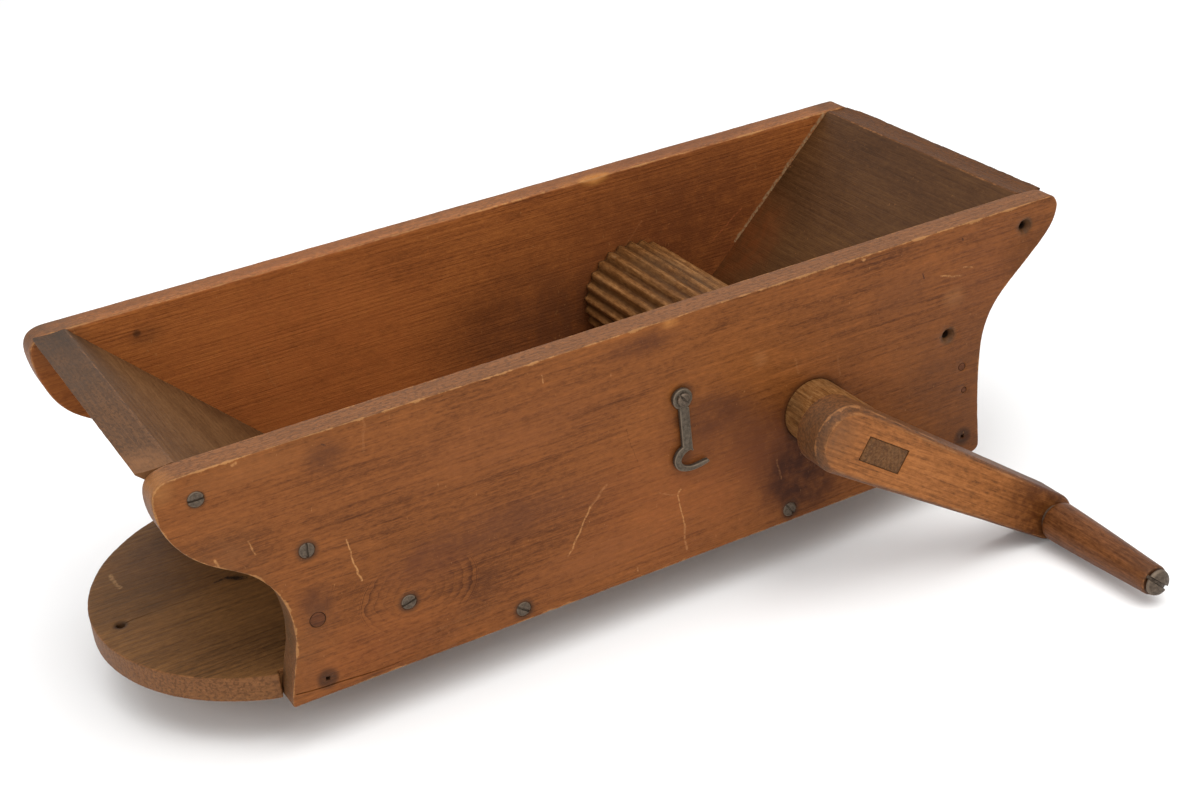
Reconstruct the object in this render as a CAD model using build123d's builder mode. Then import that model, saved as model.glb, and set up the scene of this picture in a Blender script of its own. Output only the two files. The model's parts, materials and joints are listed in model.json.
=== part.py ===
"""Butter worker: a wooden trough with sloped ends, a fluted roller and a crank.

X runs along the trough, Y from the crank side to the back, Z up from the underside.
All lengths are in millimetres.
"""
import math
import os

from build123d import *

os.makedirs("parts", exist_ok=True)

# ---------------------------------------------------------------- driving dimensions
height = 200.0              # side boards, underside to top
half_width = 150.0          # outer faces of the side boards
board = 22.0                # side board thickness
inner_half = half_width - board
base_thick = 20.0
left_end_thick = 18.8
right_end_thick = 19.2
lobe_radius = 143.0         # rounded tongue past the left end
lobe_centre_x = -252.9
base_right_x = 288.0
shoulder_front_x = -303.0   # the tongue's shoulders stand against the side boards' ends
shoulder_back_x = -304.4

left_top_x = -343.5         # inner top edge of the left end board
left_lean = 1.0             # run per unit of drop
right_top_x = 343.5
right_lean = 1.07
right_top_fall = 1.8        # the right end board's top edge is planed down to the outside

roller_x = 133.5            # roller axis
roller_z = 88.3
roller_radius = 48.0
flute_count = 26
flute_radius = 4.5
roller_half = 126.5
journal_radius = 25.0
running_gap = 0.1
journal_front = 209.0       # shoulder that the arm seats on, measured out from the middle
journal_back = 149.5

crank_angle = 35.0          # below level, arm pointing to the right
crank_length = 191.5        # roller axis to handle axis
arm_thick = 30.0
arm_back = 210.0
arm_head = 26.5             # half width at the roller
arm_tail = 19.0             # half width at the handle
arm_overhang = 34.5
tenon_long = 41.0
tenon_short = 19.0

handle_length = 110.0
handle_big = 16.2
handle_small = 11.6
bolt_radius = 4.0
washer_thick = 1.6
bolt_head_radius = 10.4
bolt_head_tall = 7.5

hook_x = 19.8
hook_z = 136.5
hook_thick = 4.0
hook_pin_radius = 2.6

screw_head_radius = 5.9
screw_cone = 4.6
screw_radius = 2.9
end_screw_length = 50.0
base_screw_length = 46.0

left_screws = [(-339.0, 180.2, 0.0), (-273.0, 116.8, 86.0), (-207.5, 49.9, 14.0)]
right_screws = [(335.0, 181.3, 20.0), (260.3, 110.7, -35.0), (184.0, 38.4, 65.0)]
base_screws = [(-122.2, 10.2, -38.0), (107.9, 10.0, -56.0)]
base_nail_holes = [(-274.5, 13.5), (273.0, 17.5)]
large_plug = (-274.2, 62.0, 6.0)
small_plugs = [(273.2, 79.6, 3.4), (275.0, 58.7, 2.6)]
plug_depth = 9.0

left_profile = [(-302.6, 0.0), (-296.8, 28.0), (-292.0, 50.0), (-293.0, 76.0),
                (-300.0, 95.5), (-312.0, 111.0), (-333.0, 125.5), (-352.5, 142.5),
                (-363.8, 162.0), (-367.6, 183.0)]
back_left_profile = [(-304.0, 0.0), (-299.0, 28.0), (-295.5, 50.0), (-297.5, 76.0),
                     (-306.5, 95.5), (-321.5, 110.0), (-341.5, 123.0), (-356.3, 135.5),
                     (-367.3, 155.0), (-373.0, 180.0)]
right_profile = [(289.3, 7.0), (288.8, 45.0), (290.6, 80.0), (296.0, 107.5),
                 (308.0, 127.5), (327.0, 144.5), (346.0, 160.0), (360.5, 174.5),
                 (367.2, 188.0)]

sin_c = math.sin(math.radians(crank_angle))
cos_c = math.cos(math.radians(crank_angle))
handle_x = roller_x + crank_length * cos_c
handle_z = roller_z - crank_length * sin_c

facing_front = (-90, 0, 0)      # turns +Z to +Y: a tool that enters from the front
facing_back = (90, 0, 0)        # turns +Z to -Y: a tool that enters from the back


def export(part, name):
    part.label = name
    export_step(part, f"parts/{name}.step")


def wood_screw(length, slot_deg):
    """Flat-headed slotted screw along +Z, its head's face at z = 0."""
    with BuildPart() as screw:
        with BuildSketch(Plane.XZ):
            with BuildLine():
                Polyline((0, 0), (screw_head_radius, 0), (screw_head_radius, 0.5),
                         (screw_radius, screw_cone), (screw_radius, length - 7),
                         (0, length), close=True)
            make_face()
        revolve(axis=Axis.Z)
        with Locations(Location((0, 0, 0), (0, 0, slot_deg))):
            Box(14, 1.3, 2.6, mode=Mode.SUBTRACT)
    return screw.part


def screw_seat(length):
    """The hole that a wood screw fills: a countersink and a straight shank."""
    with BuildPart() as seat:
        with BuildSketch(Plane.XZ):
            with BuildLine():
                Polyline((0, -1), (screw_head_radius, -1), (screw_head_radius, 0.5),
                         (screw_radius, screw_cone), (screw_radius, length - 7),
                         (0, length), close=True)
            make_face()
        revolve(axis=Axis.Z)
    return seat.part


def cut_seats(places, length, front):
    """Subtract one screw seat per place from the part being built."""
    for x, z, *_ in places:
        y = -half_width if front else half_width
        turn = facing_front if front else facing_back
        add(Location((x, y, z), turn) * screw_seat(length), mode=Mode.SUBTRACT)


def place_screws(places, length, front):
    for x, z, slot in places:
        y = -half_width if front else half_width
        turn = facing_front if front else facing_back
        add(Location((x, y, z), turn) * wood_screw(length, slot))


def board_outline(left_points):
    """One closed line round a side board, in its own X and Z."""
    with BuildLine() as line:
        left = Spline(*left_points)
        end_x, end_z = left_points[-1]
        corner_left = Spline((end_x, end_z), (end_x + 3.4, 195.0), (end_x + 18.6, height),
                             tangents=(left % 1, (1, 0)))
        top = Line(corner_left @ 1, (359.0, height))
        right = Spline(*right_profile)
        Spline(top @ 1, (365.4, 197.0), right @ 1,
               tangents=((1, 0), (right % 1) * -1))
        foot = ThreePointArc(right @ 0, (287.4, 2.0), (282.5, 0.0))
        Line(foot @ 1, left @ 0)
    return line.line


# ---------------------------------------------------------------- side boards
with BuildPart() as front_board:
    with BuildSketch(Plane.XZ.offset(inner_half)):
        add(board_outline(left_profile))
        make_face()
    extrude(amount=board)
    with Locations(Location((roller_x, -half_width, roller_z), (90, 0, 0))):
        Cylinder(journal_radius + running_gap, 3 * board, mode=Mode.SUBTRACT)
    cut_seats(left_screws + right_screws, end_screw_length, True)
    cut_seats(base_screws, base_screw_length, True)
    for x, z in base_nail_holes:
        with Locations((x, -half_width + 11, z)):
            Box(3.0, 24, 3.0, mode=Mode.SUBTRACT)
    for x, z, radius in [large_plug] + small_plugs:
        with Locations(Location((x, -half_width, z), (90, 0, 0))):
            Cylinder(radius, 2 * plug_depth, mode=Mode.SUBTRACT)
    with Locations(Location((hook_x, -half_width, hook_z), (90, 0, 0))):
        Cylinder(hook_pin_radius, 36, mode=Mode.SUBTRACT)
export(front_board.part, "front_board")

with BuildPart() as back_board:
    with BuildSketch(Plane.XZ.offset(-half_width)):
        add(board_outline(back_left_profile))
        make_face()
    extrude(amount=board)
    with Locations(Location((roller_x, half_width, roller_z), (90, 0, 0))):
        Cylinder(journal_radius + running_gap, 3 * board, mode=Mode.SUBTRACT)
    cut_seats(left_screws + right_screws, end_screw_length, False)
    cut_seats(base_screws, base_screw_length, False)
export(back_board.part, "back_board")


# ---------------------------------------------------------------- sloped end boards
def end_board_face(sign, top_x, lean, thick, fall):
    """Slanted board seen from the front: cut at the top and, level, on the base."""
    rise = height - base_thick
    level = thick * math.sqrt(1 + lean * lean)
    low_x = top_x - sign * rise * lean
    with BuildSketch(Plane.XZ.offset(-inner_half)) as face:
        with BuildLine():
            Polyline((top_x, height),
                     (top_x + sign * (level - fall * lean), height - fall),
                     (low_x + sign * level, base_thick), (low_x, base_thick),
                     close=True)
        make_face()
    return face.sketch


with BuildPart() as left_end_board:
    extrude(end_board_face(-1, left_top_x, left_lean, left_end_thick, 0), amount=2 * inner_half)
    cut_seats(left_screws, end_screw_length, True)
    cut_seats(left_screws, end_screw_length, False)
export(left_end_board.part, "left_end_board")

with BuildPart() as right_end_board:
    extrude(end_board_face(1, right_top_x, right_lean, right_end_thick, right_top_fall),
            amount=2 * inner_half)
    cut_seats(right_screws, end_screw_length, True)
    cut_seats(right_screws, end_screw_length, False)
export(right_end_board.part, "right_end_board")

# ---------------------------------------------------------------- base with its tongue
def tongue_half(x):
    """Half width of the rounded tongue at x."""
    return math.sqrt(lobe_radius ** 2 - (x - lobe_centre_x) ** 2)


with BuildPart() as base_board:
    with BuildSketch(Plane.XY):
        with BuildLine():
            tongue = ThreePointArc((shoulder_back_x, tongue_half(shoulder_back_x)),
                                   (lobe_centre_x - lobe_radius, 0),
                                   (shoulder_front_x, -tongue_half(shoulder_front_x)))
            Polyline(tongue @ 1, (shoulder_front_x, -inner_half),
                     (base_right_x, -inner_half), (base_right_x, inner_half),
                     (shoulder_back_x, inner_half), tongue @ 0)
        make_face()
    extrude(amount=base_thick)
    with Locations((-377.5, -3.5, base_thick / 2)):
        Cylinder(3.0, 2 * base_thick, mode=Mode.SUBTRACT)
    cut_seats(base_screws, base_screw_length, True)
    cut_seats(base_screws, base_screw_length, False)
export(base_board.part, "base_board")

# ---------------------------------------------------------------- screws and plugs
with BuildPart() as front_end_screws:
    place_screws(left_screws + right_screws[2:], end_screw_length, True)
export(front_end_screws.part, "front_end_screws")

with BuildPart() as back_end_screws:
    place_screws(left_screws + right_screws, end_screw_length, False)
export(back_end_screws.part, "back_end_screws")

with BuildPart() as front_base_screws:
    place_screws(base_screws, base_screw_length, True)
export(front_base_screws.part, "front_base_screws")

with BuildPart() as back_base_screws:
    place_screws(base_screws, base_screw_length, False)
export(back_base_screws.part, "back_base_screws")

with BuildPart() as board_plug:
    with Locations(Location((large_plug[0], -half_width + plug_depth / 2, large_plug[1]),
                            (90, 0, 0))):
        Cylinder(large_plug[2], plug_depth)
export(board_plug.part, "board_plug")

with BuildPart() as peg_plugs:
    for x, z, radius in small_plugs:
        with Locations(Location((x, -half_width + plug_depth / 2, z), (90, 0, 0))):
            Cylinder(radius, plug_depth)
export(peg_plugs.part, "peg_plugs")

# ---------------------------------------------------------------- fluted roller
along_arm = Plane(origin=(roller_x, -arm_back, roller_z),
                  x_dir=(cos_c, 0, -sin_c), z_dir=(0, -1, 0))

with BuildPart() as fluted_roller:
    with BuildSketch(Plane(origin=(roller_x, roller_half, roller_z),
                           x_dir=(1, 0, 0), z_dir=(0, -1, 0))):
        Circle(roller_radius)
        with PolarLocations(roller_radius + 0.6, flute_count, start_angle=-3.0):
            Circle(flute_radius, mode=Mode.SUBTRACT)
    extrude(amount=2 * roller_half)
    journal_long = journal_front + journal_back
    journal_mid = (journal_back - journal_front) / 2
    with Locations(Location((roller_x, journal_mid, roller_z), (90, 0, 0))):
        Cylinder(journal_radius, journal_long)
    with BuildSketch(along_arm.offset(arm_back * -1 + journal_front - 2)):
        Rectangle(tenon_long, tenon_short)
    extrude(amount=arm_thick + 3)
export(fluted_roller.part, "fluted_roller")

# ---------------------------------------------------------------- crank arm
with BuildPart() as crank_arm:
    with BuildSketch(along_arm):
        with BuildLine():
            head = ThreePointArc((-arm_overhang, arm_head),
                                 (-arm_overhang - arm_head, 0),
                                 (-arm_overhang, -arm_head))
            lower = Line(head @ 1, (crank_length, -arm_tail))
            tail = ThreePointArc(lower @ 1, (crank_length + arm_tail, 0),
                                 (crank_length, arm_tail))
            Line(tail @ 1, head @ 0)
        make_face()
    extrude(amount=arm_thick)
    arm_front = crank_arm.faces().sort_by(Axis.Y)[0]
    chamfer(arm_front.outer_wire().edges(), length=3.5, length2=6.0, reference=arm_front)
    with BuildSketch(along_arm.offset(-1)):
        Rectangle(tenon_long, tenon_short)
        with Locations((crank_length, 0)):
            Circle(bolt_radius)
    extrude(amount=arm_thick + 2, mode=Mode.SUBTRACT)
export(crank_arm.part, "crank_arm")

# ---------------------------------------------------------------- handle and its bolt
handle_foot = arm_back + arm_thick + washer_thick + 0.4
handle_tip = handle_foot + handle_length
handle_axis = Axis((handle_x, 0, handle_z), (0, -1, 0))


def handle_plane(out):
    """Half-section plane of the handle: X outwards from its axis, Y towards its tip."""
    return Plane(origin=(handle_x, -out, handle_z), x_dir=(1, 0, 0), z_dir=(0, 0, -1))


def ring_face(out, outer, inner):
    with BuildSketch(Plane(origin=(handle_x, -out, handle_z),
                           x_dir=(1, 0, 0), z_dir=(0, -1, 0))) as ring:
        Circle(outer)
        Circle(inner, mode=Mode.SUBTRACT)
    return ring.sketch


with BuildPart() as crank_handle:
    bore = bolt_radius + running_gap
    with BuildSketch(handle_plane(handle_foot)):
        with BuildLine():
            foot = Line((bore, 0), (handle_big - 3.0, 0))
            round_foot = ThreePointArc(foot @ 1, (handle_big - 0.8, 0.9),
                                       (handle_big, 3.2))
            side = Spline(round_foot @ 1, (handle_big - 0.9, 30), (handle_small + 1.3, 82),
                          (handle_small, handle_length))
            Polyline(side @ 1, (bore, handle_length), foot @ 0)
        make_face()
    revolve(axis=handle_axis)
export(crank_handle.part, "crank_handle")

with BuildPart() as handle_washer:
    extrude(ring_face(arm_back + arm_thick, 11.5, bolt_radius), amount=washer_thick)
export(handle_washer.part, "handle_washer")

nut_thick = 6.5
bolt_end = arm_back - washer_thick - nut_thick - 2.5
head_foot = handle_tip + 0.4
with BuildPart() as handle_bolt:
    with BuildSketch(handle_plane(bolt_end)):
        reach = head_foot - bolt_end
        with BuildLine():
            shank = Polyline((0, 0), (bolt_radius, 0), (bolt_radius, reach),
                             (bolt_head_radius, reach), (bolt_head_radius, reach + 3.0))
            dome = ThreePointArc(shank @ 1, (bolt_head_radius * 0.66, reach + 6.3),
                                 (0, reach + bolt_head_tall))
            Line(dome @ 1, shank @ 0)
        make_face()
    revolve(axis=handle_axis)
    with Locations(Location((handle_x, -head_foot - bolt_head_tall, handle_z), (0, 48, 0))):
        Box(2.2, 7.0, 30, mode=Mode.SUBTRACT)
export(handle_bolt.part, "handle_bolt")

with BuildPart() as nut_washer:
    extrude(ring_face(arm_back - washer_thick, 11.0, bolt_radius), amount=washer_thick)
export(nut_washer.part, "nut_washer")

with BuildPart() as handle_nut:
    with BuildSketch(Plane(origin=(handle_x, -(arm_back - washer_thick - nut_thick),
                                   handle_z),
                           x_dir=(cos_c, 0, -sin_c), z_dir=(0, -1, 0))):
        Rectangle(14.5, 14.5)
        Circle(bolt_radius, mode=Mode.SUBTRACT)
    extrude(amount=nut_thick)
export(handle_nut.part, "handle_nut")

# ---------------------------------------------------------------- hook and its screw
hook_back = half_width + 0.6
with BuildPart() as hook:
    with BuildSketch(Plane.XZ.offset(hook_back)):
        with BuildLine():
            outer = Spline((16.6, 97.5), (11.2, 93.6), (8.9, 86.6), (11.4, 80.6),
                           (18.5, 76.9), (28.6, 76.6), (38.2, 79.0))
            tip = Line(outer @ 1, (37.4, 81.2))
            inner = Spline(tip @ 1, (28.5, 80.5), (19.5, 81.3), (14.9, 86.2),
                           (17.2, 90.9), (25.3, 92.4))
            Polyline(inner @ 1, (24.6, 129.0), (16.4, 129.0), outer @ 0)
        make_face()
        with Locations((hook_x, hook_z)):
            Circle(8.2)
            Circle(hook_pin_radius + running_gap, mode=Mode.SUBTRACT)
    extrude(amount=hook_thick)
export(hook.part, "hook")

with BuildPart() as hook_screw:
    head_face = hook_back + hook_thick + 0.5
    with BuildSketch(Plane(origin=(hook_x, -half_width + 18, hook_z),
                           x_dir=(1, 0, 0), z_dir=(0, 0, -1))):
        reach = head_face - half_width + 18
        with BuildLine():
            pin = Polyline((0, 0), (hook_pin_radius, 5), (hook_pin_radius, reach),
                           (5.2, reach), (5.2, reach + 0.8))
            dome = ThreePointArc(pin @ 1, (3.4, reach + 2.6), (0, reach + 3.3))
            Line(dome @ 1, pin @ 0)
        make_face()
    revolve(axis=Axis((hook_x, 0, hook_z), (0, -1, 0)))
    with Locations(Location((hook_x, -head_face - 3.3, hook_z), (0, -35, 0))):
        Box(1.2, 3.2, 14, mode=Mode.SUBTRACT)
export(hook_screw.part, "hook_screw")
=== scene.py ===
"""Looks of the butter worker: old pine boards, a fluted hardwood roller, a crank and dark iron.

Every shape starts from a CAD node of the frame. Shapes are worked out in millimetres and
turned into metres when a piece is made.
"""
import json
import math

import bpy
import numpy as np
from mathutils import Matrix, Vector, noise
from mathutils.geometry import delaunay_2d_cdt


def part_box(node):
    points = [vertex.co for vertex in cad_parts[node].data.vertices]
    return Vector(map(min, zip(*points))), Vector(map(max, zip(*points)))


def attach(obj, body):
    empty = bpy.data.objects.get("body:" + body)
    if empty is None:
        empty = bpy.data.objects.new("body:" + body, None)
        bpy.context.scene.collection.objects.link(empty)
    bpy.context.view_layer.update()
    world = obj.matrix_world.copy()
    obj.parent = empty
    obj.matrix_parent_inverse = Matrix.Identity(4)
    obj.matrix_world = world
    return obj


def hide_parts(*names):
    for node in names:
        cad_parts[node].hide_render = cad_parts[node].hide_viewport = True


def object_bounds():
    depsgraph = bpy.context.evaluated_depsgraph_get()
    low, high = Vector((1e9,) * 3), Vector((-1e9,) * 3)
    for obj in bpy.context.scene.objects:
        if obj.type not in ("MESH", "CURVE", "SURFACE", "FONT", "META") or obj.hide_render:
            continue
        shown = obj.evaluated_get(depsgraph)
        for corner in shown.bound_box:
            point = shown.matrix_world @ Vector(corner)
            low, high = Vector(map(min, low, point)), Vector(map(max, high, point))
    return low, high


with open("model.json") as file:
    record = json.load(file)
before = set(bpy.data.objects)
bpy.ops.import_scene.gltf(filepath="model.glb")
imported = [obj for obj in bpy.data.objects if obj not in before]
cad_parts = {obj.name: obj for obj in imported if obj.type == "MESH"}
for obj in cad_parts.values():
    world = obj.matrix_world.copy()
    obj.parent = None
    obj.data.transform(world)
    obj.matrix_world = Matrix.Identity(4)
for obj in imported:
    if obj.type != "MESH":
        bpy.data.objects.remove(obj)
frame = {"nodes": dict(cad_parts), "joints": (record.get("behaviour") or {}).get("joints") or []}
cad_box = [list(corner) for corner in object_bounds()]

JOINTS = {j["name"]: j for j in frame["joints"]}
ROLLER = [1000 * v for v in JOINTS["roller_spin"]["pos_m"]]
GRIP = [1000 * v for v in JOINTS["handle_spin"]["pos_m"]]
HOOK = [1000 * v for v in JOINTS["hook_swing"]["pos_m"]]


# ---------------------------------------------------------------- reading the frame
def box_mm(node):
    low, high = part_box(node)
    return [1000 * v for v in low], [1000 * v for v in high]


def cad_mesh(node):
    """Points (mm) and triangles of a CAD node, with shared corners joined."""
    mesh = frame["nodes"][node].data
    points = np.array([v.co for v in mesh.vertices], float) * 1000
    _, first, same = np.unique(np.round(points / 0.004).astype(int), axis=0,
                               return_index=True, return_inverse=True)
    same = same.ravel()
    mesh.calc_loop_triangles()
    triangles = [[int(same[i]) for i in t.vertices] for t in mesh.loop_triangles]
    return points[first], triangles


def area_of(loop):
    x, y = loop[:, 0], loop[:, 1]
    return 0.5 * float(np.sum(x * np.roll(y, -1) - np.roll(x, -1) * y))


def plane_loops(node, axis, value):
    """Outlines, largest first, of the node's flat face at that value along that axis."""
    points, triangles = cad_mesh(node)
    edges = {}
    for t in triangles:
        if all(abs(points[i][axis] - value) < 0.02 for i in t):
            for a, b in ((t[0], t[1]), (t[1], t[2]), (t[2], t[0])):
                if edges.pop((b, a), None) is None:
                    edges[(a, b)] = True
    after = {a: b for a, b in edges}
    keep = [i for i in range(3) if i != axis]
    loops = []
    while after:
        start, b = after.popitem()
        loop = [start]
        while b != start:
            loop.append(b)
            b = after.pop(b)
        loop = points[loop][:, keep]
        loops.append(loop if area_of(loop) > 0 else loop[::-1])
    return sorted(loops, key=lambda one: -abs(area_of(one)))


# ---------------------------------------------------------------- noise and outlines
def wave(x, y=0.0, z=0.0):
    return noise.noise(Vector((x, y, z)))


def rough_line(s, seed):
    """A slow wobble with a finer one on it, from about -1 to 1."""
    return wave(s / 42, seed) + 0.5 * wave(s / 13, seed + 7) + 0.25 * wave(s / 4.5, seed + 13)


def fillet(loop, radius, turn=24):
    """Rounds the sharp corners of a closed line."""
    done = []
    n = len(loop)
    for i in range(n):
        p, a, b = loop[i], loop[i - 1], loop[(i + 1) % n]
        u, v = a - p, b - p
        lu, lv = np.linalg.norm(u), np.linalg.norm(v)
        u, v = u / lu, v / lv
        angle = math.degrees(math.acos(max(-1, min(1, -float(u @ v)))))
        if angle < turn:
            done.append(p)
            continue
        reach = min(radius * math.tan(math.radians(angle) / 2), 0.45 * lu, 0.45 * lv)
        for t in np.linspace(0, 1, 6):
            done.append((1 - t) ** 2 * (p + u * reach) + 2 * t * (1 - t) * p
                        + t * t * (p + v * reach))
    return np.array(done)


def resample(loop, step):
    """Long edges are divided. Returns the points and the run along the line at each."""
    done, run, total = [], [], 0.0
    n = len(loop)
    for i in range(n):
        a, b = loop[i], loop[(i + 1) % n]
        length = float(np.linalg.norm(b - a))
        if length < 1e-6:
            continue
        parts = max(1, int(math.ceil(length / step)))
        for k in range(parts):
            done.append(a + (b - a) * k / parts)
            run.append(total + length * k / parts)
        total += length
    return np.array(done), np.array(run)


def inward(loop):
    """Unit normals of a counter-clockwise closed line, pointing to its inside."""
    ahead = np.roll(loop, -1, 0) - loop
    ahead /= np.linalg.norm(ahead, axis=1)[:, None]
    both = ahead + np.roll(ahead, 1, 0)
    both /= np.linalg.norm(both, axis=1)[:, None]
    return np.stack([-both[:, 1], both[:, 0]], 1)


def inside(points, loop):
    """Which points lie inside a closed line."""
    x, y = points[:, 0][:, None], points[:, 1][:, None]
    ax, ay = loop[:, 0][None], loop[:, 1][None]
    bx, by = np.roll(loop[:, 0], -1)[None], np.roll(loop[:, 1], -1)[None]
    crosses = (ay > y) != (by > y)
    with np.errstate(divide="ignore", invalid="ignore"):
        at = ax + (y - ay) * (bx - ax) / (by - ay)
    return (np.sum(crosses & (x < at), axis=1) % 2) == 1


def distance_to(points, loop):
    """Distance from each point to the nearest edge of a closed line."""
    a, b = loop, np.roll(loop, -1, 0)
    best = np.full(len(points), 1e9)
    for k in range(0, len(a), 64):
        p, q = a[k:k + 64][None], b[k:k + 64][None]
        d = q - p
        t = np.sum((points[:, None] - p) * d, 2) / np.maximum(np.sum(d * d, 2), 1e-12)
        near = p + d * np.clip(t, 0, 1)[..., None]
        best = np.minimum(best, np.linalg.norm(points[:, None] - near, axis=2).min(1))
    return best


# ---------------------------------------------------------------- making a mesh
class Shell:
    """Points, faces and the worn-edge distance of a piece being made."""

    def __init__(self):
        self.points, self.faces, self.arris, self.side = [], [], [], []

    def add(self, points, arris, side=0.0):
        start = len(self.points)
        self.points += [tuple(map(float, p)) for p in points]
        n = len(points)
        self.arris += list(np.broadcast_to(np.asarray(arris, float), (n,)))
        self.side += list(np.broadcast_to(np.asarray(side, float), (n,)))
        return list(range(start, start + n))

    def band(self, one, two, closed=True):
        n = len(one)
        for i in range(n if closed else n - 1):
            j = (i + 1) % n
            self.faces.append((one[i], one[j], two[j], two[i]))

    def fan(self, ring, centre, arris=20.0, side=0.0):
        (c,) = self.add([centre], [arris], side)
        for i in range(len(ring)):
            self.faces.append((ring[i], ring[(i + 1) % len(ring)], c))

    def piece(self, name, body, nodes, material, smooth_angle=38):
        mesh = bpy.data.meshes.new(name)
        mesh.from_pydata([[v * 0.001 for v in p] for p in self.points], [], self.faces)
        mesh.validate()
        for label, values in (("arris", self.arris), ("side", self.side)):
            data = mesh.attributes.new(label, "FLOAT", "POINT")
            data.data.foreach_set("value", np.array(values, np.float32))
        made = bpy.data.objects.new(name, mesh)
        bpy.context.scene.collection.objects.link(made)
        bpy.context.view_layer.objects.active = made
        made.select_set(True)
        bpy.ops.object.mode_set(mode="EDIT")
        bpy.ops.mesh.select_all(action="SELECT")
        bpy.ops.mesh.normals_make_consistent(inside=False)
        bpy.ops.object.mode_set(mode="OBJECT")
        mesh.shade_smooth()
        mesh.set_sharp_from_angle(angle=math.radians(smooth_angle))
        made.select_set(False)
        made.data.materials.append(material)
        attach(made, body)
        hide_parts(*nodes)
        return made


def round_profile(radius, parts=4):
    """(set in from the outline, depth below the face) across a worn arris."""
    return [(radius * (1 - math.sin(a)), radius * (1 - math.cos(a)))
            for a in np.linspace(0, math.pi / 2, parts + 1)]


def cut_board(shell, outline, place, thick, front, back, holes=(), grid=7.0, step=2.2,
              corner=2.4, wobble=0.3, seed=1.0, lines=(), relief=None, wall_rows=4,
              front_arris=None):
    """A board cut to an outline, with its arrises worn by a different amount all along.

    place(u, v, depth) gives the point in space. front and back give a list of
    (set in, depth) for a spot of the outline, from the face to the wall. holes are
    (outline, steps down or None for through, worn width). lines are open cracks:
    (points, width, depth). relief(u, v) is how far the front face is worn down.
    """
    loop, run = resample(fillet(outline, corner), step)
    normal = inward(loop)
    for i in range(len(loop)):
        loop[i] += normal[i] * wobble * 0.5 * (1.0 + rough_line(run[i], seed))
    normal = inward(loop)
    relief = relief or (lambda u, v: 0.0)
    sides = {}
    for which, shape in (("front", front), ("back", back)):
        table = [shape(p, s, nrm) for p, s, nrm in zip(loop, run, normal)]
        rows = []
        for k in range(len(table[0])):
            set_in = np.array([t[k][0] for t in table])[:, None]
            depth = np.array([t[k][1] for t in table])
            rows.append((loop + normal * set_in, depth))
        middle = len(rows) // 2
        made = []
        for k, (flat, depth) in enumerate(rows):
            if which == "front":
                points = [place(p[0], p[1], d + (relief(*p) if k < 2 else 0.0))
                          for p, d in zip(flat, depth)]
            else:
                points = [place(p[0], p[1], thick - d) for p, d in zip(flat, depth)]
            off = [abs(table[i][k][0] - table[i][middle][0])
                   + abs(table[i][k][1] - table[i][middle][1]) for i in range(len(loop))]
            if front_arris and which == "front":
                off = front_arris[k]
            made.append(shell.add(points, off, min(1.0, k / (len(rows) - 1.0))))
        for a, b in zip(made, made[1:]):
            shell.band(a, b)
        sides[which] = (rows, made)
    front_rows, front_ids = sides["front"]
    back_rows, back_ids = sides["back"]
    last = front_ids[-1]
    for k in range(1, wall_rows):
        t = k / wall_rows
        top, low = front_rows[-1][1], thick - back_rows[-1][1]
        depth = top + (low - top) * t
        points, off = [], []
        for i, p in enumerate(loop):
            dent = 0.12 * wave(run[i] / 5, depth[i] / 3, seed) + 0.08
            q = p + normal[i] * dent
            points.append(place(q[0], q[1], depth[i]))
            off.append(min(depth[i], thick - depth[i]))
        row = shell.add(points, off, 1.0)
        shell.band(last, row)
        last = row
    shell.band(last, back_ids[-1])
    face(shell, front_rows[0][0], front_ids[0], loop, place, holes, grid, seed, relief,
         0.0, lines)
    through = [h for h in holes if h[1] is None]
    face(shell, back_rows[0][0], back_ids[0], loop, place, through, grid, seed + 5,
         lambda u, v: 0.0, thick, ())


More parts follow.
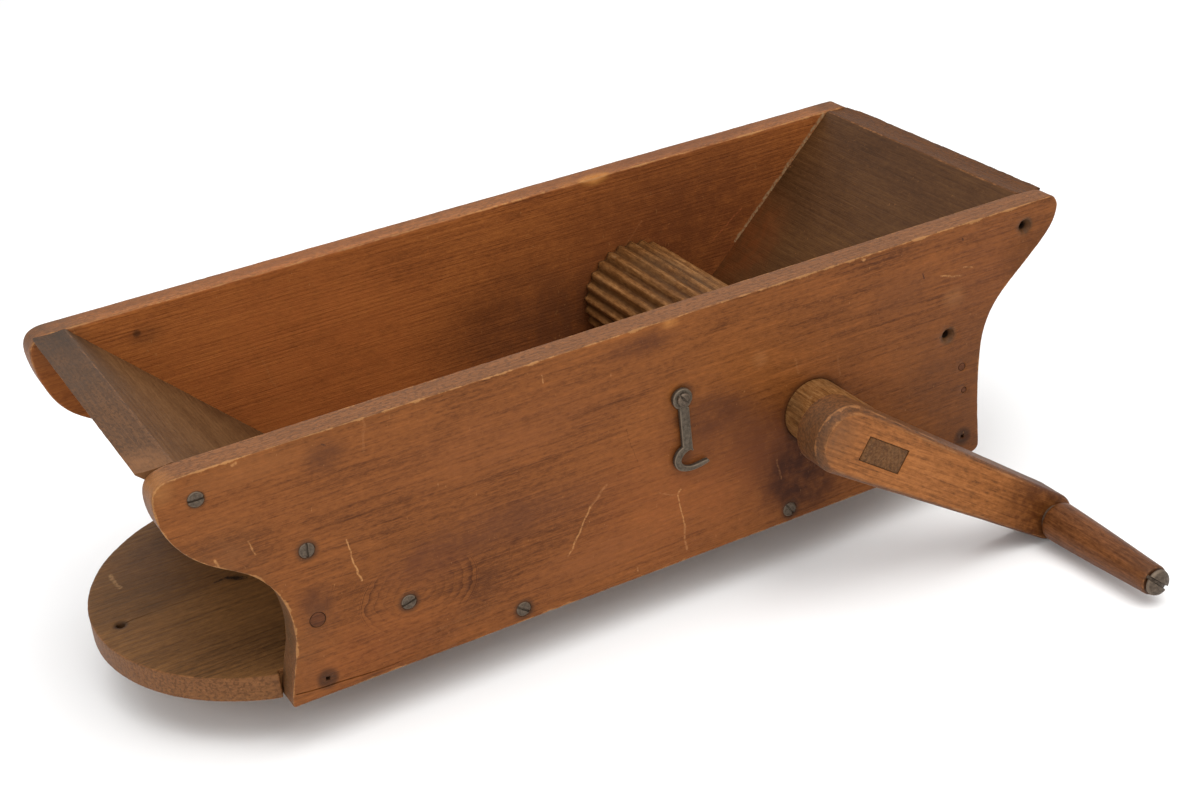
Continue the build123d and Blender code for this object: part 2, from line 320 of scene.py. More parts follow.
def face(shell, edge, edge_ids, outline, place, holes, grid, seed, relief, level, lines):
    """Fills one face of a board, leaving its holes, and adds the holes' own walls."""
    flat = [tuple(p) for p in edge]
    ids = list(edge_ids)
    edges = [(i, (i + 1) % len(flat)) for i in range(len(flat))]
    is_front = level == 0.0
    sign = 1.0 if is_front else -1.0
    rims = []
    for outline_of, depth, worn in holes:
        ring, _ = resample(outline_of, 2.0)
        out = inward(ring) * -1
        start = len(flat)
        wide = ring + out * worn
        row = shell.add([place(p[0], p[1], level + sign * relief(*p)) for p in wide],
                        9.0, 0.0)
        flat += [tuple(p) for p in wide]
        ids += row
        edges += [(start + i, start + (i + 1) % len(ring)) for i in range(len(ring))]
        rims.append(wide)
        mid = shell.add([place(p[0], p[1], level + sign * (relief(*p) + 0.3 * worn))
                         for p in ring + out * 0.3 * worn], 9.0, 0.3)
        shell.band(row, mid)
        low = shell.add([place(p[0], p[1], level + sign * (relief(*p) + worn))
                         for p in ring], 9.0, 1.0)
        shell.band(mid, low)
        if depth is None:
            if is_front:
                shell.through = getattr(shell, "through", []) + [low]
            else:
                shell.band(shell.through.pop(0), low)
        else:
            centre = ring.mean(0)
            for share, deep in depth:
                end = shell.add([place(*(centre + (p - centre) * share), deep) for p in ring],
                                9.0, 0.45 if deep < 5 else 1.0)
                shell.band(low, end)
                low = end
            shell.fan(low, place(centre[0], centre[1], depth[-1][1]), 9.0, 1.0)
    for points, width, depth in lines:
        points = np.array(points, float)
        along = np.gradient(points, axis=0)
        along /= np.linalg.norm(along, axis=1)[:, None]
        across = np.stack([-along[:, 1], along[:, 0]], 1)
        taper = np.minimum(1.0, 0.15 + np.linspace(1.6, 0, len(points)))[:, None]
        for shift, down in ((width / 2, 0.0), (0.0, depth), (-width / 2, 0.0)):
            start = len(flat)
            row_points = points + across * shift * taper
            sunk = [down * float(t) for t in taper[:, 0]]
            ids += shell.add([place(p[0], p[1], level + d) for p, d in zip(row_points, sunk)],
                             9.0, 0.0)
            flat += [tuple(p) for p in row_points]
            edges += [(start + i, start + i + 1) for i in range(len(points) - 1)]
    low, high = edge.min(0), edge.max(0)
    xs = np.arange(low[0] + grid / 2, high[0], grid)
    ys = np.arange(low[1] + grid / 2, high[1], grid)
    fill = [(x + 1.5 * wave(x / 9, y / 9, seed), y + 1.5 * wave(y / 9, x / 9, seed + 3))
            for x in xs for y in ys]
    normal = inward(outline)
    for inset in (4.0, 8.0):
        fill += [tuple(p) for p in (outline + normal * inset)[::2]]
    fill = np.array(fill)
    gap = distance_to(fill, outline)
    keep = inside(fill, edge) & (gap > 3.4)
    for rim in rims:
        keep &= ~inside(fill, rim)
        keep &= distance_to(fill, rim) > 1.6
    for points, width, _ in lines:
        path = np.array(points, float)
        keep &= distance_to(fill, np.concatenate([path, path[::-1]])) > 1.8
    fill, gap = fill[keep], gap[keep]
    ids += shell.add([place(p[0], p[1], level + sign * relief(*p)) for p in fill], gap, 0.0)
    flat += [tuple(p) for p in fill]
    got = delaunay_2d_cdt([Vector(p) for p in flat], edges, [], 0, 1e-5)
    places = np.array([tuple(v) for v in got[0]])
    original = [o[0] if o else None for o in got[3]]
    middles = np.array([places[list(f)].mean(0) for f in got[2]])
    ok = inside(middles, edge)
    for rim in rims:
        ok &= ~inside(middles, rim)
    for f, good in zip(got[2], ok):
        if good and all(original[i] is not None for i in f):
            shell.faces.append(tuple(ids[original[i]] for i in f))


# ---------------------------------------------------------------- node helpers
# also the colour of the painted shade behind the hook and round the roller's journal hole on the
# front board
DARK_STAIN_AND_SHADE = (0.010, 0.007, 0.005)         # the dark round old screws and nails
WOOD_SPECULAR = 0.14


class Shader:
    """A material's node tree, built with short calls. Lengths are in metres."""

    def __init__(self, name):
        self.material = bpy.data.materials.new(name)
        self.material.use_nodes = True
        self.tree = self.material.node_tree
        self.tree.nodes.clear()
        self.out = self.tree.nodes.new("ShaderNodeOutputMaterial")
        self.shader = self.tree.nodes.new("ShaderNodeBsdfPrincipled")
        self.tree.links.new(self.shader.outputs[0], self.out.inputs[0])
        self.object = self.make("ShaderNodeTexCoord").outputs["Object"]

    def make(self, kind, inputs=None, **options):
        node = self.tree.nodes.new(kind)
        for key, value in options.items():
            setattr(node, key, value)
        for key, value in (inputs or {}).items():
            self.put(node.inputs[key], value)
        return node

    def put(self, socket, value):
        if isinstance(value, bpy.types.NodeSocket):
            self.tree.links.new(value, socket)
        elif hasattr(socket.default_value, "__len__") and not hasattr(value, "__len__"):
            socket.default_value = [value] * len(socket.default_value)
        elif hasattr(value, "__len__") and len(socket.default_value) == 4 and len(value) == 3:
            socket.default_value = (*value, 1.0)
        else:
            socket.default_value = value

    def math(self, operation, a, b=0.0, c=0.0, clamp=False):
        return self.make("ShaderNodeMath", {0: a, 1: b, 2: c}, operation=operation,
                         use_clamp=clamp).outputs[0]

    def plus(self, a, b):
        return self.math("ADD", a, b)

    def minus(self, a, b):
        return self.math("SUBTRACT", a, b)

    def times(self, a, b):
        return self.math("MULTIPLY", a, b)

    def length(self, u, v):
        return self.math("SQRT", self.plus(self.times(u, u), self.times(v, v)))

    def vector(self, operation, a, b=(0, 0, 0)):
        node = self.make("ShaderNodeVectorMath", {0: a, 1: b}, operation=operation)
        return node.outputs["Value" if operation in ("LENGTH", "DISTANCE") else "Vector"]

    def turned(self, vector, origin, angles):
        return self.make("ShaderNodeVectorRotate", {"Vector": vector, "Center": origin,
                                                    "Rotation": angles},
                         rotation_type="EULER_XYZ").outputs[0]

    def noise(self, vector, scale, detail=3.0, roughness=0.55, distortion=0.0):
        """Noise from 0 to 1. scale is cycles per metre along each axis."""
        scaled = self.vector("MULTIPLY", vector, scale)
        return self.make("ShaderNodeTexNoise", {"Vector": scaled, "Scale": 1.0,
                                                "Detail": detail, "Roughness": roughness,
                                                "Distortion": distortion}).outputs["Fac"]

    def step(self, value, low, high, out_low=0.0, out_high=1.0):
        return self.make("ShaderNodeMapRange",
                         {"Value": value, "From Min": low, "From Max": high,
                          "To Min": out_low, "To Max": out_high},
                         interpolation_type="SMOOTHSTEP").outputs["Result"]

    def mix(self, share, a, b, blend="MIX"):
        node = self.make("ShaderNodeMix", data_type="RGBA", blend_type=blend)
        self.put(node.inputs[0], share)
        self.put(node.inputs[6], a)
        self.put(node.inputs[7], b)
        return node.outputs[2]

    def ramp(self, value, stops):
        node = self.make("ShaderNodeValToRGB", {"Fac": value})
        points = node.color_ramp.elements
        while len(points) < len(stops):
            points.new(0.5)
        for point, (at, colour) in zip(points, stops):
            point.position = at
            point.color = (*colour, 1.0) if hasattr(colour, "__len__") else (colour,) * 3 + (1,)
        return node.outputs[0]

    def attribute(self, name):
        return self.make("ShaderNodeAttribute", attribute_name=name).outputs["Fac"]

    def spot(self, centre, inner, outer, squash=(1, 1, 1)):
        """1 near a point, 0 away from it."""
        away = self.vector("SUBTRACT", self.object, [v / 1000 for v in centre])
        away = self.vector("MULTIPLY", away, squash)
        far = self.vector("LENGTH", away)
        return self.step(far, inner / 1000, outer / 1000, 1.0, 0.0)

    def mark(self, a, b, width, wander, plane=(0, 2)):
        """1 on a thin line from a to b (mm, two of the three axes), 0 beside it."""
        ax, ay = (v / 1000 for v in a)
        bx, by = (v / 1000 for v in b)
        length = math.hypot(bx - ax, by - ay)
        dx, dy = (bx - ax) / length, (by - ay) / length
        u = self.minus(wander[plane[0]], ax)
        v = self.minus(wander[plane[1]], ay)
        along = self.plus(self.times(u, dx), self.times(v, dy))
        across = self.plus(self.times(u, -dy), self.times(v, dx))
        over = self.minus(along,
                          self.math("MINIMUM", self.math("MAXIMUM", along, 0.0), length))
        far = self.length(over, across)
        return self.step(far, 0.3 * width / 1000, width / 1000, 1.0, 0.0)

    def bump(self, height, distance, strength=1.0, normal=None):
        inputs = {"Height": height, "Distance": distance, "Strength": strength}
        if normal is not None:
            inputs["Normal"] = normal
        return self.make("ShaderNodeBump", inputs).outputs[0]

    def most(self, values):
        value = values[0]
        for other in values[1:]:
            value = self.math("MAXIMUM", value, other)
        return value


def lit(gain, sheen):
    """A picker of surface colours by how they show, for a place that is lit this much."""
    def seen(r, g, b):
        linear = [(v / 255 / 12.92) if v <= 10 else ((v / 255 + 0.055) / 1.055) ** 2.4
                  for v in (r, g, b)]
        return tuple(max(0.0012, (v - sheen * (0.5 + 0.5 * v / max(linear))) / gain)
                     for v in linear)
    return seen


# Each board's colours are divided by a gain for how strongly that board is lit here, so boards
# that lie more in shade get brighter colours: painted light that lifts their shade, most on the
# back board (0.8) and the base board (0.5), a little on the end boards (1.2).
seen = lit(1.3, 0.012)
seen_back_shade_lifted = lit(0.8, 0.006)
seen_end = lit(1.2, 0.014)
seen_tongue_shade_lifted = lit(0.5, 0.006)


def wood(name, light, middle, dark, along=(0, 0, 0), origin=(0, 0, 0), pith=(0.06, 0.09),
         rings=0.0042, ring_depth=0.35, wander=0.03, knots=(), blotch=0.6, worn=None,
         worn_width=2.0, worn_share=0.7, side_tint=None, spots=(), patches=(), marks=(),
         plane=(0, 2), level=None, roughness=0.52, fibre=0.3, seed=0.0, grime=None,
         groove=None):
    """Old planed wood. Grain runs along X after the turn `along` about `origin`.

    knots (x, z, size, squash) are in the grain's own plane. spots darken round a point and
    patches tint round it. marks are thin scratches on the face that level (axis, value)
    names. groove (tint, from, to, share) darkens deep places by the arris attribute. worn
    tints the rubbed arrises, side_tint the faces across the grain and grime the dust.
    """
    s = Shader(name)
    p = s.object
    if any(along):
        p = s.turned(p, [v / 1000 for v in origin], along)
    p = s.vector("ADD", p, (seed, seed * 0.37, seed * 0.71))
    slow = s.noise(p, (2.4, 9, 9), 2.0)
    quick = s.noise(p, (9, 60, 60), 3.0)
    flat = s.make("ShaderNodeSeparateXYZ", {0: p}).outputs
    across = s.minus(flat[1], pith[0] + seed * 0.37)
    up = s.minus(flat[2], pith[1] + seed * 0.71)
    reach = s.length(across, up)
    reach = s.plus(reach, s.times(slow, wander))
    reach = s.plus(reach, s.times(quick, 0.1 * wander))
    depth = ring_depth
    for x, z, size, squash in knots:
        du = s.times(s.minus(flat[0], x / 1000 + seed), squash)
        dv = s.minus(flat[2], z / 1000 + seed * 0.71)
        away = s.length(du, dv)
        share = s.step(away, 0.75 * size / 1000, 1.3 * size / 1000, 1.0, 0.0)
        ringed = s.plus(away, s.times(quick, 0.012))
        reach = s.make("ShaderNodeMix", {0: share, 2: reach, 3: ringed}).outputs[0]
        ends = s.step(s.math("DIVIDE", s.math("ABSOLUTE", du), s.plus(away, 0.001)),
                      0.55, 0.9)
        band = s.step(away, 0.45 * size / 1000, 0.8 * size / 1000)
        deep = s.times(s.times(share, ends), band)
        depth = s.plus(depth, s.times(deep, 0.34))
    phase = s.math("FRACT", s.math("DIVIDE", reach, rings))
    late = s.ramp(phase, [(0.0, 0.05), (0.45, 0.15), (0.80, 0.75), (0.93, 1.0), (1.0, 0.05)])
    ring_fade = s.noise(p, (5, 30, 30), 2.0)
    late = s.times(late, s.step(ring_fade, 0.3, 0.65, 0.25, 1.0))
    streak = s.noise(p, (14, 520, 520), 4.0, 0.62)
    vein = s.noise(p, (12, 240, 240), 4.0, 0.65, 0.3)
    fine = s.noise(p, (60, 1500, 1500), 2.0, 0.6)
    cloud = s.noise(p, (9, 22, 22), 6.0, 0.68, 0.8)
    wide = s.noise(p, (2.4, 8, 8), 2.0, 0.5, 0.6)
    speck = s.noise(p, (160, 420, 420), 4.0, 0.75)
    tone = s.times(s.minus(cloud, 0.5), 1.9 * blotch)
    for layer, share in ((wide, 1.1 * blotch), (streak, 2.6 * fibre), (vein, 1.2 * fibre),
                         (fine, 1.6 * fibre), (speck, 3.4 * fibre)):
        swing = s.times(s.minus(layer, 0.5), share)
        tone = s.plus(tone, swing)
    tone = s.minus(tone, s.times(late, depth))
    tone = s.math("ADD", tone, 0.5 + 0.35 * ring_depth, clamp=True)
    colour = s.ramp(tone, [(0.05, dark), (0.5, middle), (0.95, light)])
    arris = s.attribute("arris")
    side = s.attribute("side")
    if groove:
        colour = s.mix(s.step(arris, groove[1], groove[2], 0.0, groove[3]), colour, groove[0])
    if side_tint:
        grainy = s.noise(p, (240, 500, 500), 4.0)
        there = s.step(side, 0.1, 0.6)
        rub = s.mix(s.step(streak, 0.3, 0.7), [v * 0.62 for v in side_tint], side_tint)
        rub = s.mix(s.step(grainy, 0.5, 0.58, 0.0, 0.8), rub, [v * 0.45 for v in side_tint])
        rub = s.mix(s.step(speck, 0.6, 0.68, 0.0, 0.6), rub, [v * 1.5 for v in side_tint])
        colour = s.mix(s.times(there, s.step(grainy, 0.2, 0.7, 0.6, 0.95)), colour, rub)
    ragged = s.noise(s.object, (90, 90, 90), 4.0, 0.65)
    for centre, inner, outer, squash, tint, share in patches:
        mask = s.times(s.spot(centre, inner, outer, squash),
                       s.step(ragged, 0.25, 0.7, 0.35, 1.0))
        colour = s.mix(s.times(mask, share), colour, tint)
    for centre, inner, outer, share in spots:
        mask = s.times(s.spot(centre, inner, outer), s.step(speck, 0.2, 0.7, 0.5, 1.0))
        colour = s.mix(s.times(mask, share), colour, DARK_STAIN_AND_SHADE)
    if marks:
        shaky = s.make("ShaderNodeTexNoise", {"Vector": s.vector("MULTIPLY", s.object, (130,) * 3),
                                              "Scale": 1.0, "Detail": 3.0}).outputs["Color"]
        shaky = s.vector("MULTIPLY", s.vector("SUBTRACT", shaky, (0.5,) * 3), (0.004,) * 3)
        where = s.make("ShaderNodeSeparateXYZ", {0: s.vector("ADD", s.object, shaky)}).outputs
        broken = s.noise(s.object, (420, 420, 420), 2.0)
        for a, b, width, tint, share in marks:
            mask = s.times(s.mark(a, b, width, where, plane),
                           s.step(broken, 0.35, 0.6, 0.25, 1.0))
            if level:
                here = s.make("ShaderNodeSeparateXYZ", {0: s.object}).outputs[level[0]]
                near = s.step(s.math("ABSOLUTE", s.minus(here, level[1] / 1000)),
                              0.001, 0.003, 1.0, 0.0)
                mask = s.times(mask, near)
            colour = s.mix(s.times(mask, share), colour, tint)
    if worn:
        places = s.step(s.noise(s.object, (22, 22, 22), 3.0, 0.6), 0.38, 0.56, 0.42, 1.0)
        chew = s.noise(s.object, (75, 75, 75), 4.0, 0.65)
        small = s.noise(s.object, (330, 330, 330), 3.0, 0.6)
        limit = s.times(s.step(chew, 0.36, 0.68), worn_width)
        limit = s.plus(limit, s.times(s.step(small, 0.45, 0.7), 0.8))
        limit = s.times(limit, places)
        rubbed = s.step(s.minus(limit, arris), -0.2, 0.7)
        bright = s.mix(s.step(streak, 0.3, 0.7), [v * 0.66 for v in worn], worn)
        colour = s.mix(s.times(rubbed, worn_share), colour, bright)
        nicks = s.step(s.noise(s.object, (520, 300, 230), 3.0, 0.6), 0.64, 0.72)
        nicks = s.times(nicks, s.step(chew, 0.5, 0.66, 0.1, 0.45))
        colour = s.mix(nicks, colour, worn)
    if grime:
        dusty = s.noise(s.object, (26, 26, 26), 4.0, 0.65)
        colour = s.mix(s.step(dusty, 0.45, 0.75, 0.0, grime[1]), colour, grime[0])
    s.put(s.shader.inputs["Base Color"], colour)
    rough = s.plus(roughness - 0.08, s.times(streak, 0.16))
    s.put(s.shader.inputs["Roughness"], rough)
    s.shader.inputs["Specular IOR Level"].default_value = WOOD_SPECULAR
    coarse = s.minus(s.plus(s.times(streak, 0.8),
                            s.times(fine, 0.5)),
                     s.times(late, 0.25))
    first = s.bump(coarse, 0.0005, 0.8)
    lumps = s.noise(s.object, (38, 38, 38), 3.0)
    s.put(s.shader.inputs["Normal"], s.bump(lumps, 0.0012, 0.35, first))
    return s


def iron(name, base, rust, shine=0.55, lumps=0.0004):
    s = Shader(name)
    coarse = s.noise(s.object, (420, 420, 420), 4.0, 0.65)
    fine = s.noise(s.object, (1800, 1800, 1800), 3.0, 0.6)
    arris = s.attribute("arris")
    colour = s.mix(s.step(coarse, 0.35, 0.7), base, [v * 0.55 for v in base])
    colour = s.mix(s.step(fine, 0.5, 0.75, 0.0, 0.7), colour, rust)
    rubbed = s.times(s.step(arris, 0.2, 1.2, 1.0, 0.0), s.step(coarse, 0.3, 0.6))
    colour = s.mix(s.times(rubbed, 0.5), colour, [min(1, v * 2.4) for v in base])
    s.put(s.shader.inputs["Base Color"], colour)
    s.shader.inputs["Metallic"].default_value = 0.75
    s.put(s.shader.inputs["Roughness"], s.step(coarse, 0.2, 0.8, shine - 0.12, shine + 0.2))
    height = s.plus(coarse, s.times(fine, 0.3))
    s.put(s.shader.inputs["Normal"], s.bump(height, lumps, 0.8))
    return s.material


# ---------------------------------------------------------------- colours
TAN = seen(196, 140, 86)
WORN = seen(172, 116, 70)
SIDE_LIGHT = seen(155, 93, 47)
SIDE_MID = seen(130, 77, 39)
SIDE_DARK = seen(86, 48, 25)

front_low, front_high = box_mm("front_board")
back_low, back_high = box_mm("back_board")
front_y, inner_front = front_low[1], front_high[1]
inner_back, back_y = back_low[1], back_high[1]
board = inner_front - front_y
top_z = box_mm("left_end_board")[1][2]
base_z = box_mm("base_board")[1][2]

iron_mat = iron("aged_iron", seen(114, 100, 86), seen(84, 62, 46))
forged_mat = iron("forged_iron", seen(112, 100, 86), seen(86, 68, 54), 0.5, 0.0007)

front_marks = [
    ((-244, 115), (-243, 99), 0.8, TAN, 0.9), ((-243, 99), (-239, 80), 0.9, TAN, 0.9),
    ((-311, 138), (-308, 127), 0.8, TAN, 0.7), ((-335, 133), (-333, 127), 1.0, TAN, 0.8),
    ((-46, 87), (-60, 74), 1.3, WORN, 0.6), ((-60, 74), (-82, 40), 1.0, TAN, 0.7),
    ((14, 61), (12, 57), 1.1, TAN, 0.7), ((12, 57), (15, 30), 0.9, TAN, 0.8),
    ((15, 30), (15, 9), 1.3, WORN, 0.8), ((-3, 65), (9, 58), 0.8, WORN, 0.5),
    ((-87, 189), (-86, 183), 0.8, TAN, 0.6), ((-26, 125), (-19, 96), 0.6, SIDE_DARK, 0.5),
    ((120, 135), (122, 123), 1.8, WORN, 0.3), ((99, 57), (101, 40), 1.0, WORN, 0.35),
    ((157, 126), (159, 110), 1.6, WORN, 0.3), ((256, 18), (285, 15), 2.2, SIDE_DARK, 0.7),
    ((276, 164), (284, 162), 1.0, TAN, 0.5), ((254, 163), (273, 158), 1.0, TAN, 0.6),
    ((-219, 199), (-223, 175), 1.4, WORN, 0.3),
    ((238, 170), (239, 166), 1.0, (0.02, 0.008, 0.006), 0.8),
    ((275, 188), (276, 187), 1.0, (0.01, 0.006, 0.005), 0.9),
    ((183, 198), (184, 197), 1.8, TAN, 0.8), ((-312, 196), (-309, 197), 1.4, TAN, 0.6),
    ((-27, 9), (-27, 7), 1.2, TAN, 0.7), ((-230, 16), (-160, 22), 1.4, WORN, 0.15),
    ((-250, 190), (-248, 189), 1.0, (0.02, 0.012, 0.01), 0.8),
]
# on the front board: (x, depth behind its face, z), inner, outer, squash, colour, share
front_patches = [((x, front_y + deep, z), inner, outer, squash, seen(*shown), share)
                 for (x, deep, z), inner, outer, squash, shown, share in (
    ((50, 0, 111), 6, 34, (0.8, 1, 1.1), (92, 54, 36), 0.75),
    # painted shade: this patch and the next darken the board below and left of the crank's hub,
    # where the crank arm shades it
    ((98, 0, 70), 14, 46, (1, 1, 1), (86, 48, 30), 0.7),
    ((125, 0, 66), 20, 60, (0.6, 1, 1), (80, 44, 26), 0.55),
    ((-134, 0, 86), 8, 70, (0.55, 1, 2.6), (96, 58, 40), 0.55),
    ((-190, 0, 74), 4, 40, (0.8, 1, 1.6), (96, 54, 36), 0.5),
    ((-8, 0, 187), 3, 26, (0.6, 1, 2.0), (80, 46, 32), 0.7),
    ((-251, 0, 182), 2, 14, (0.7, 1, 1), (88, 52, 34), 0.5),
    ((-272, 0, 66), 5, 18, (1, 1, 0.7), (84, 52, 38), 0.55),
    ((-240, 0, 22), 10, 60, (0.6, 1, 1.6), (176, 96, 48), 0.15),
    ((20, 0, 60), 10, 90, (0.7, 1, 1.2), (160, 90, 48), 0.35),
    ((300, 0, 150), 10, 60, (1, 1, 1), (120, 70, 42), 0.35),
    ((266, 0, 142), 2, 12, (0.8, 1, 1), (172, 116, 70), 0.5),
    ((89, 0, 145), 2, 10, (1, 1, 1), (172, 116, 70), 0.35),
    ((270, 0, 60), 20, 90, (1, 1, 0.8), (98, 62, 40), 0.5),
    # painted shade: darkens the board below the crank's hub, under the crank arm
    ((121, 0, 36), 18, 48, (1, 1, 1), (66, 35, 16), 0.95),
    ((45, 0, 100), 10, 44, (0.7, 1, 0.9), (84, 48, 28), 0.5),
    ((-274, 0, 76), 2, 16, (0.8, 1, 0.8), (84, 50, 32), 0.6),
    ((-250, 0, 182), 3, 16, (0.7, 1, 0.9), (96, 58, 36), 0.6),
    ((-300, 0, 190), 6, 40, (0.6, 1, 2.5), (158, 100, 56), 0.4),
    ((-330, 0, 130), 4, 26, (1, 1, 1.4), (150, 92, 52), 0.5),
    ((-120, 0, 150), 10, 60, (0.5, 1, 1.6), (146, 88, 50), 0.4),
    ((-60, 0, 30), 6, 40, (0.5, 1, 1.6), (146, 88, 50), 0.5),
    ((17, 0, 196), 1, 5, (0.5, 1, 1), (186, 124, 66), 0.8),
    ((-364, 8, 196), 5, 20, (1, 1, 1), (172, 116, 66), 0.7),
    ((-332, 15, 120), 20, 60, (0.8, 3.0, 0.7), (104, 76, 50), 0.85),
    ((-300, 15, 36), 20, 60, (0.8, 3.0, 0.8), (98, 72, 48), 0.85),
    ((340, 0, 162), 8, 40, (1, 1, 1), (100, 56, 20), 0.8),
    ((335, 0, 181.3), 5.5, 9.5, (1, 1, 1), (84, 64, 46), 0.9),
    ((260.3, 0, 110.7), 5.5, 9.5, (1, 1, 1), (84, 64, 46), 0.9),
    ((220, 0, 160), 4, 30, (0.6, 1, 1.2), (112, 68, 40), 0.5),
)]
back_marks = [
    ((339.4, 198), (241.6, 105.5), 2.4, seen_back_shade_lifted(136, 108, 78), 1.0),
    ((-200, 128), (-192, 100), 0.8, seen_back_shade_lifted(150, 96, 56), 0.4),
    ((249, 134), (217.4, 111), 1.1, seen_back_shade_lifted(138, 76, 44), 0.6),
    ((150, 150), (118, 118), 0.8, seen_back_shade_lifted(132, 84, 52), 0.5),
]


# ---------------------------------------------------------------- side boards
def hole_list(node, y, rules):
    """The outlines on a face with, for each, its depth and worn width by its size."""
    loops = plane_loops(node, 1, y)
    found = []
    for loop in loops[1:]:
        radius = math.sqrt(abs(area_of(loop)) / math.pi)
        for most, depth, worn in rules:
            if radius < most:
                found.append((loop, depth, worn))
                break
    return loops[0], found


def edge_wear(base, spread, seed, features=()):
    """Arris radius along the outline, with chips: (x, z, reach, how much more)."""
    def radius(p, s):
        value = base + spread * max(-0.8, rough_line(s * 1.6, seed))
        value += 0.9 * max(0.0, wave(s / 9, seed + 21) - 0.42) * 3
        for x, z, reach, more in features:
            d = math.hypot(p[0] - x, p[1] - z)
            value += more * max(0.0, 1 - d / reach)
        return max(0.45, value)
    return lambda p, s, n: round_profile(radius(p, s))


def side_board(node, outer_y, inner_y, material, holes, lines, seed, front, back):
    sign = 1 if inner_y > outer_y else -1
    shell = Shell()

    def place(u, v, depth):
        bow = 0.25 * wave(u / 160, v / 110, seed)
        return (u, outer_y + sign * (depth + (max(0.0, bow) if depth < board / 2 else 0.0)), v)

    outline, rims = holes
    cut_board(shell, outline, place, board, front, back, rims, seed=seed, lines=lines,
              relief=lambda u, v: 0.12 + 0.12 * wave(u / 30, v / 14, seed + 2))
    return shell.piece(node + "_worn", "trough", [node], material)


# How a hole goes down, as (share of its outline, depth) in turn. SEAT is a countersink.
NAIL, PIN, SHALLOW = [(1.0, 6.0)], [(1.0, 12.0)], [(1.0, 3.0)]
SEAT = [(0.96, 0.8), (0.52, 4.6), (0.49, 16.0)]
crack = [(-298.0, 10.2), (-290, 9.0), (-278, 8.0), (-267, 7.6), (-252, 6.3), (-240, 5.6),
         (-228, 5.4), (-216, 6.0), (-206, 6.6)]
front_wood = wood(
    "pine_front", SIDE_LIGHT, SIDE_MID, SIDE_DARK, pith=(0.02, 0.235), rings=0.0052,
    ring_depth=0.16, wander=0.02, knots=[(-198.5, 55, 42, 0.74)], worn=TAN, worn_width=2.0,
    side_tint=seen(146, 98, 64), patches=front_patches, marks=front_marks,
    level=(1, front_y), blotch=0.5, fibre=0.34,
    spots=[((x, front_y, z), 5.0, 10.5, 0.8) for x, z in
           ((-273, 117), (-207.5, 50), (-122, 10), (108, 10), (-274.5, 13.5), (273, 17.5))]
    + [((x, front_y + 12, z), 7.6, 8.8, 1.0) for x, z in ((335, 181.3), (260.3, 110.7))]
    # the spots at x 17 to 22 are painted shade behind the hook's shank, and the ring round (133.5,
    # 88.3) is a painted shadow in the gap round the roller's journal
    + [((-339, front_y, 180), 5.0, 8.0, 0.6), ((19, front_y, 118), 3.0, 9.0, 0.4),
       ((17, front_y, 88), 6.0, 12.0, 0.35), ((22, front_y, 137), 7.0, 12.0, 0.5),
       ((133.5, front_y, 88.3), 25.0, 31.0, 0.6)]).material
front_outline = hole_list("front_board", front_y, [
    (2.2, NAIL, 0.5), (3.2, PIN, 0.3), (4.5, SHALLOW, 0.3), (5.95, SEAT, 0.5),
    (7.0, SHALLOW, 0.35), (30.0, None, 0.5)])
side_board(
    "front_board", front_y, inner_front, front_wood, front_outline,
    [(crack, 0.9, 5.0)], 1.0,
    edge_wear(1.15, 0.55, 3.0, [(17, 200, 9, 2.2), (-352, 196, 18, 1.2), (365, 196, 14, 1.4),
                                (-349, 200, 12, 1.0), (-40, 200, 25, 0.5)]),
    edge_wear(1.1, 0.5, 9.0, [(366, 198, 24, 5.0), (-360, 196, 16, 2.0)]))

back_wood = wood(
    "pine_back", seen_back_shade_lifted(150, 90, 44), seen_back_shade_lifted(126, 72, 36), seen_back_shade_lifted(84, 45, 24),
    pith=(0.128, -0.6), rings=0.0034, ring_depth=0.2, wander=0.007, worn=TAN,
    worn_width=1.6,
    side_tint=seen_back_shade_lifted(136, 88, 52), blotch=0.4, fibre=0.3, seed=1.7,
    marks=back_marks, level=(1, inner_back),
    spots=[((-292, inner_back, 180), 1.5, 4.5, 0.7)],
    patches=[((109, inner_back + 3, 200), 5, 9, (0.5, 1, 1), seen(206, 138, 70), 1.0),
             ((88, inner_back + 6, 200), 3, 9, (0.5, 1, 1), seen(170, 110, 58), 0.6),
             # painted light: brightens the left part of the back board's inner face
             ((-165, inner_back, 112), 30, 140, (0.8, 1, 1), seen_back_shade_lifted(150, 84, 42), 0.55),
             ((0, back_y, 100), 12, 20, (0.01, 1, 0.01), seen(116, 72, 42), 0.55),
             ((355, inner_back + 12, 200), 8, 26, (1, 1, 1), seen(98, 64, 40), 0.8),
             ((-358, inner_back + 12, 200), 10, 40, (1, 1, 1), seen(96, 74, 58), 0.7),
             # painted shade: this patch and the next four darken the middle and right of the back
             # board's inner face, where the front board and the roller shade it
             ((20, inner_back, 96), 10, 60, (0.5, 1, 1), seen_back_shade_lifted(84, 46, 24), 0.5),
             ((130, inner_back, 150), 20, 90, (0.6, 1, 1), seen_back_shade_lifted(98, 54, 27), 0.5),
             ((80, inner_back, 70), 20, 60, (1, 1, 1), seen_back_shade_lifted(58, 32, 18), 0.7),
             ((215, inner_back, 112), 30, 130, (0.8, 1, 0.9), seen_back_shade_lifted(86, 46, 26), 0.7),
             ((60, inner_back, 60), 20, 110, (0.8, 1, 1), seen_back_shade_lifted(90, 52, 32), 0.75),
             ((-285, inner_back, 176), 2, 12, (0.6, 1, 1), seen_back_shade_lifted(70, 42, 28), 0.6)]).material
back_outline = hole_list("back_board", back_y, [
    (2.2, NAIL, 0.5), (3.2, PIN, 0.3), (5.95, SEAT, 0.4), (30.0, None, 0.5)])
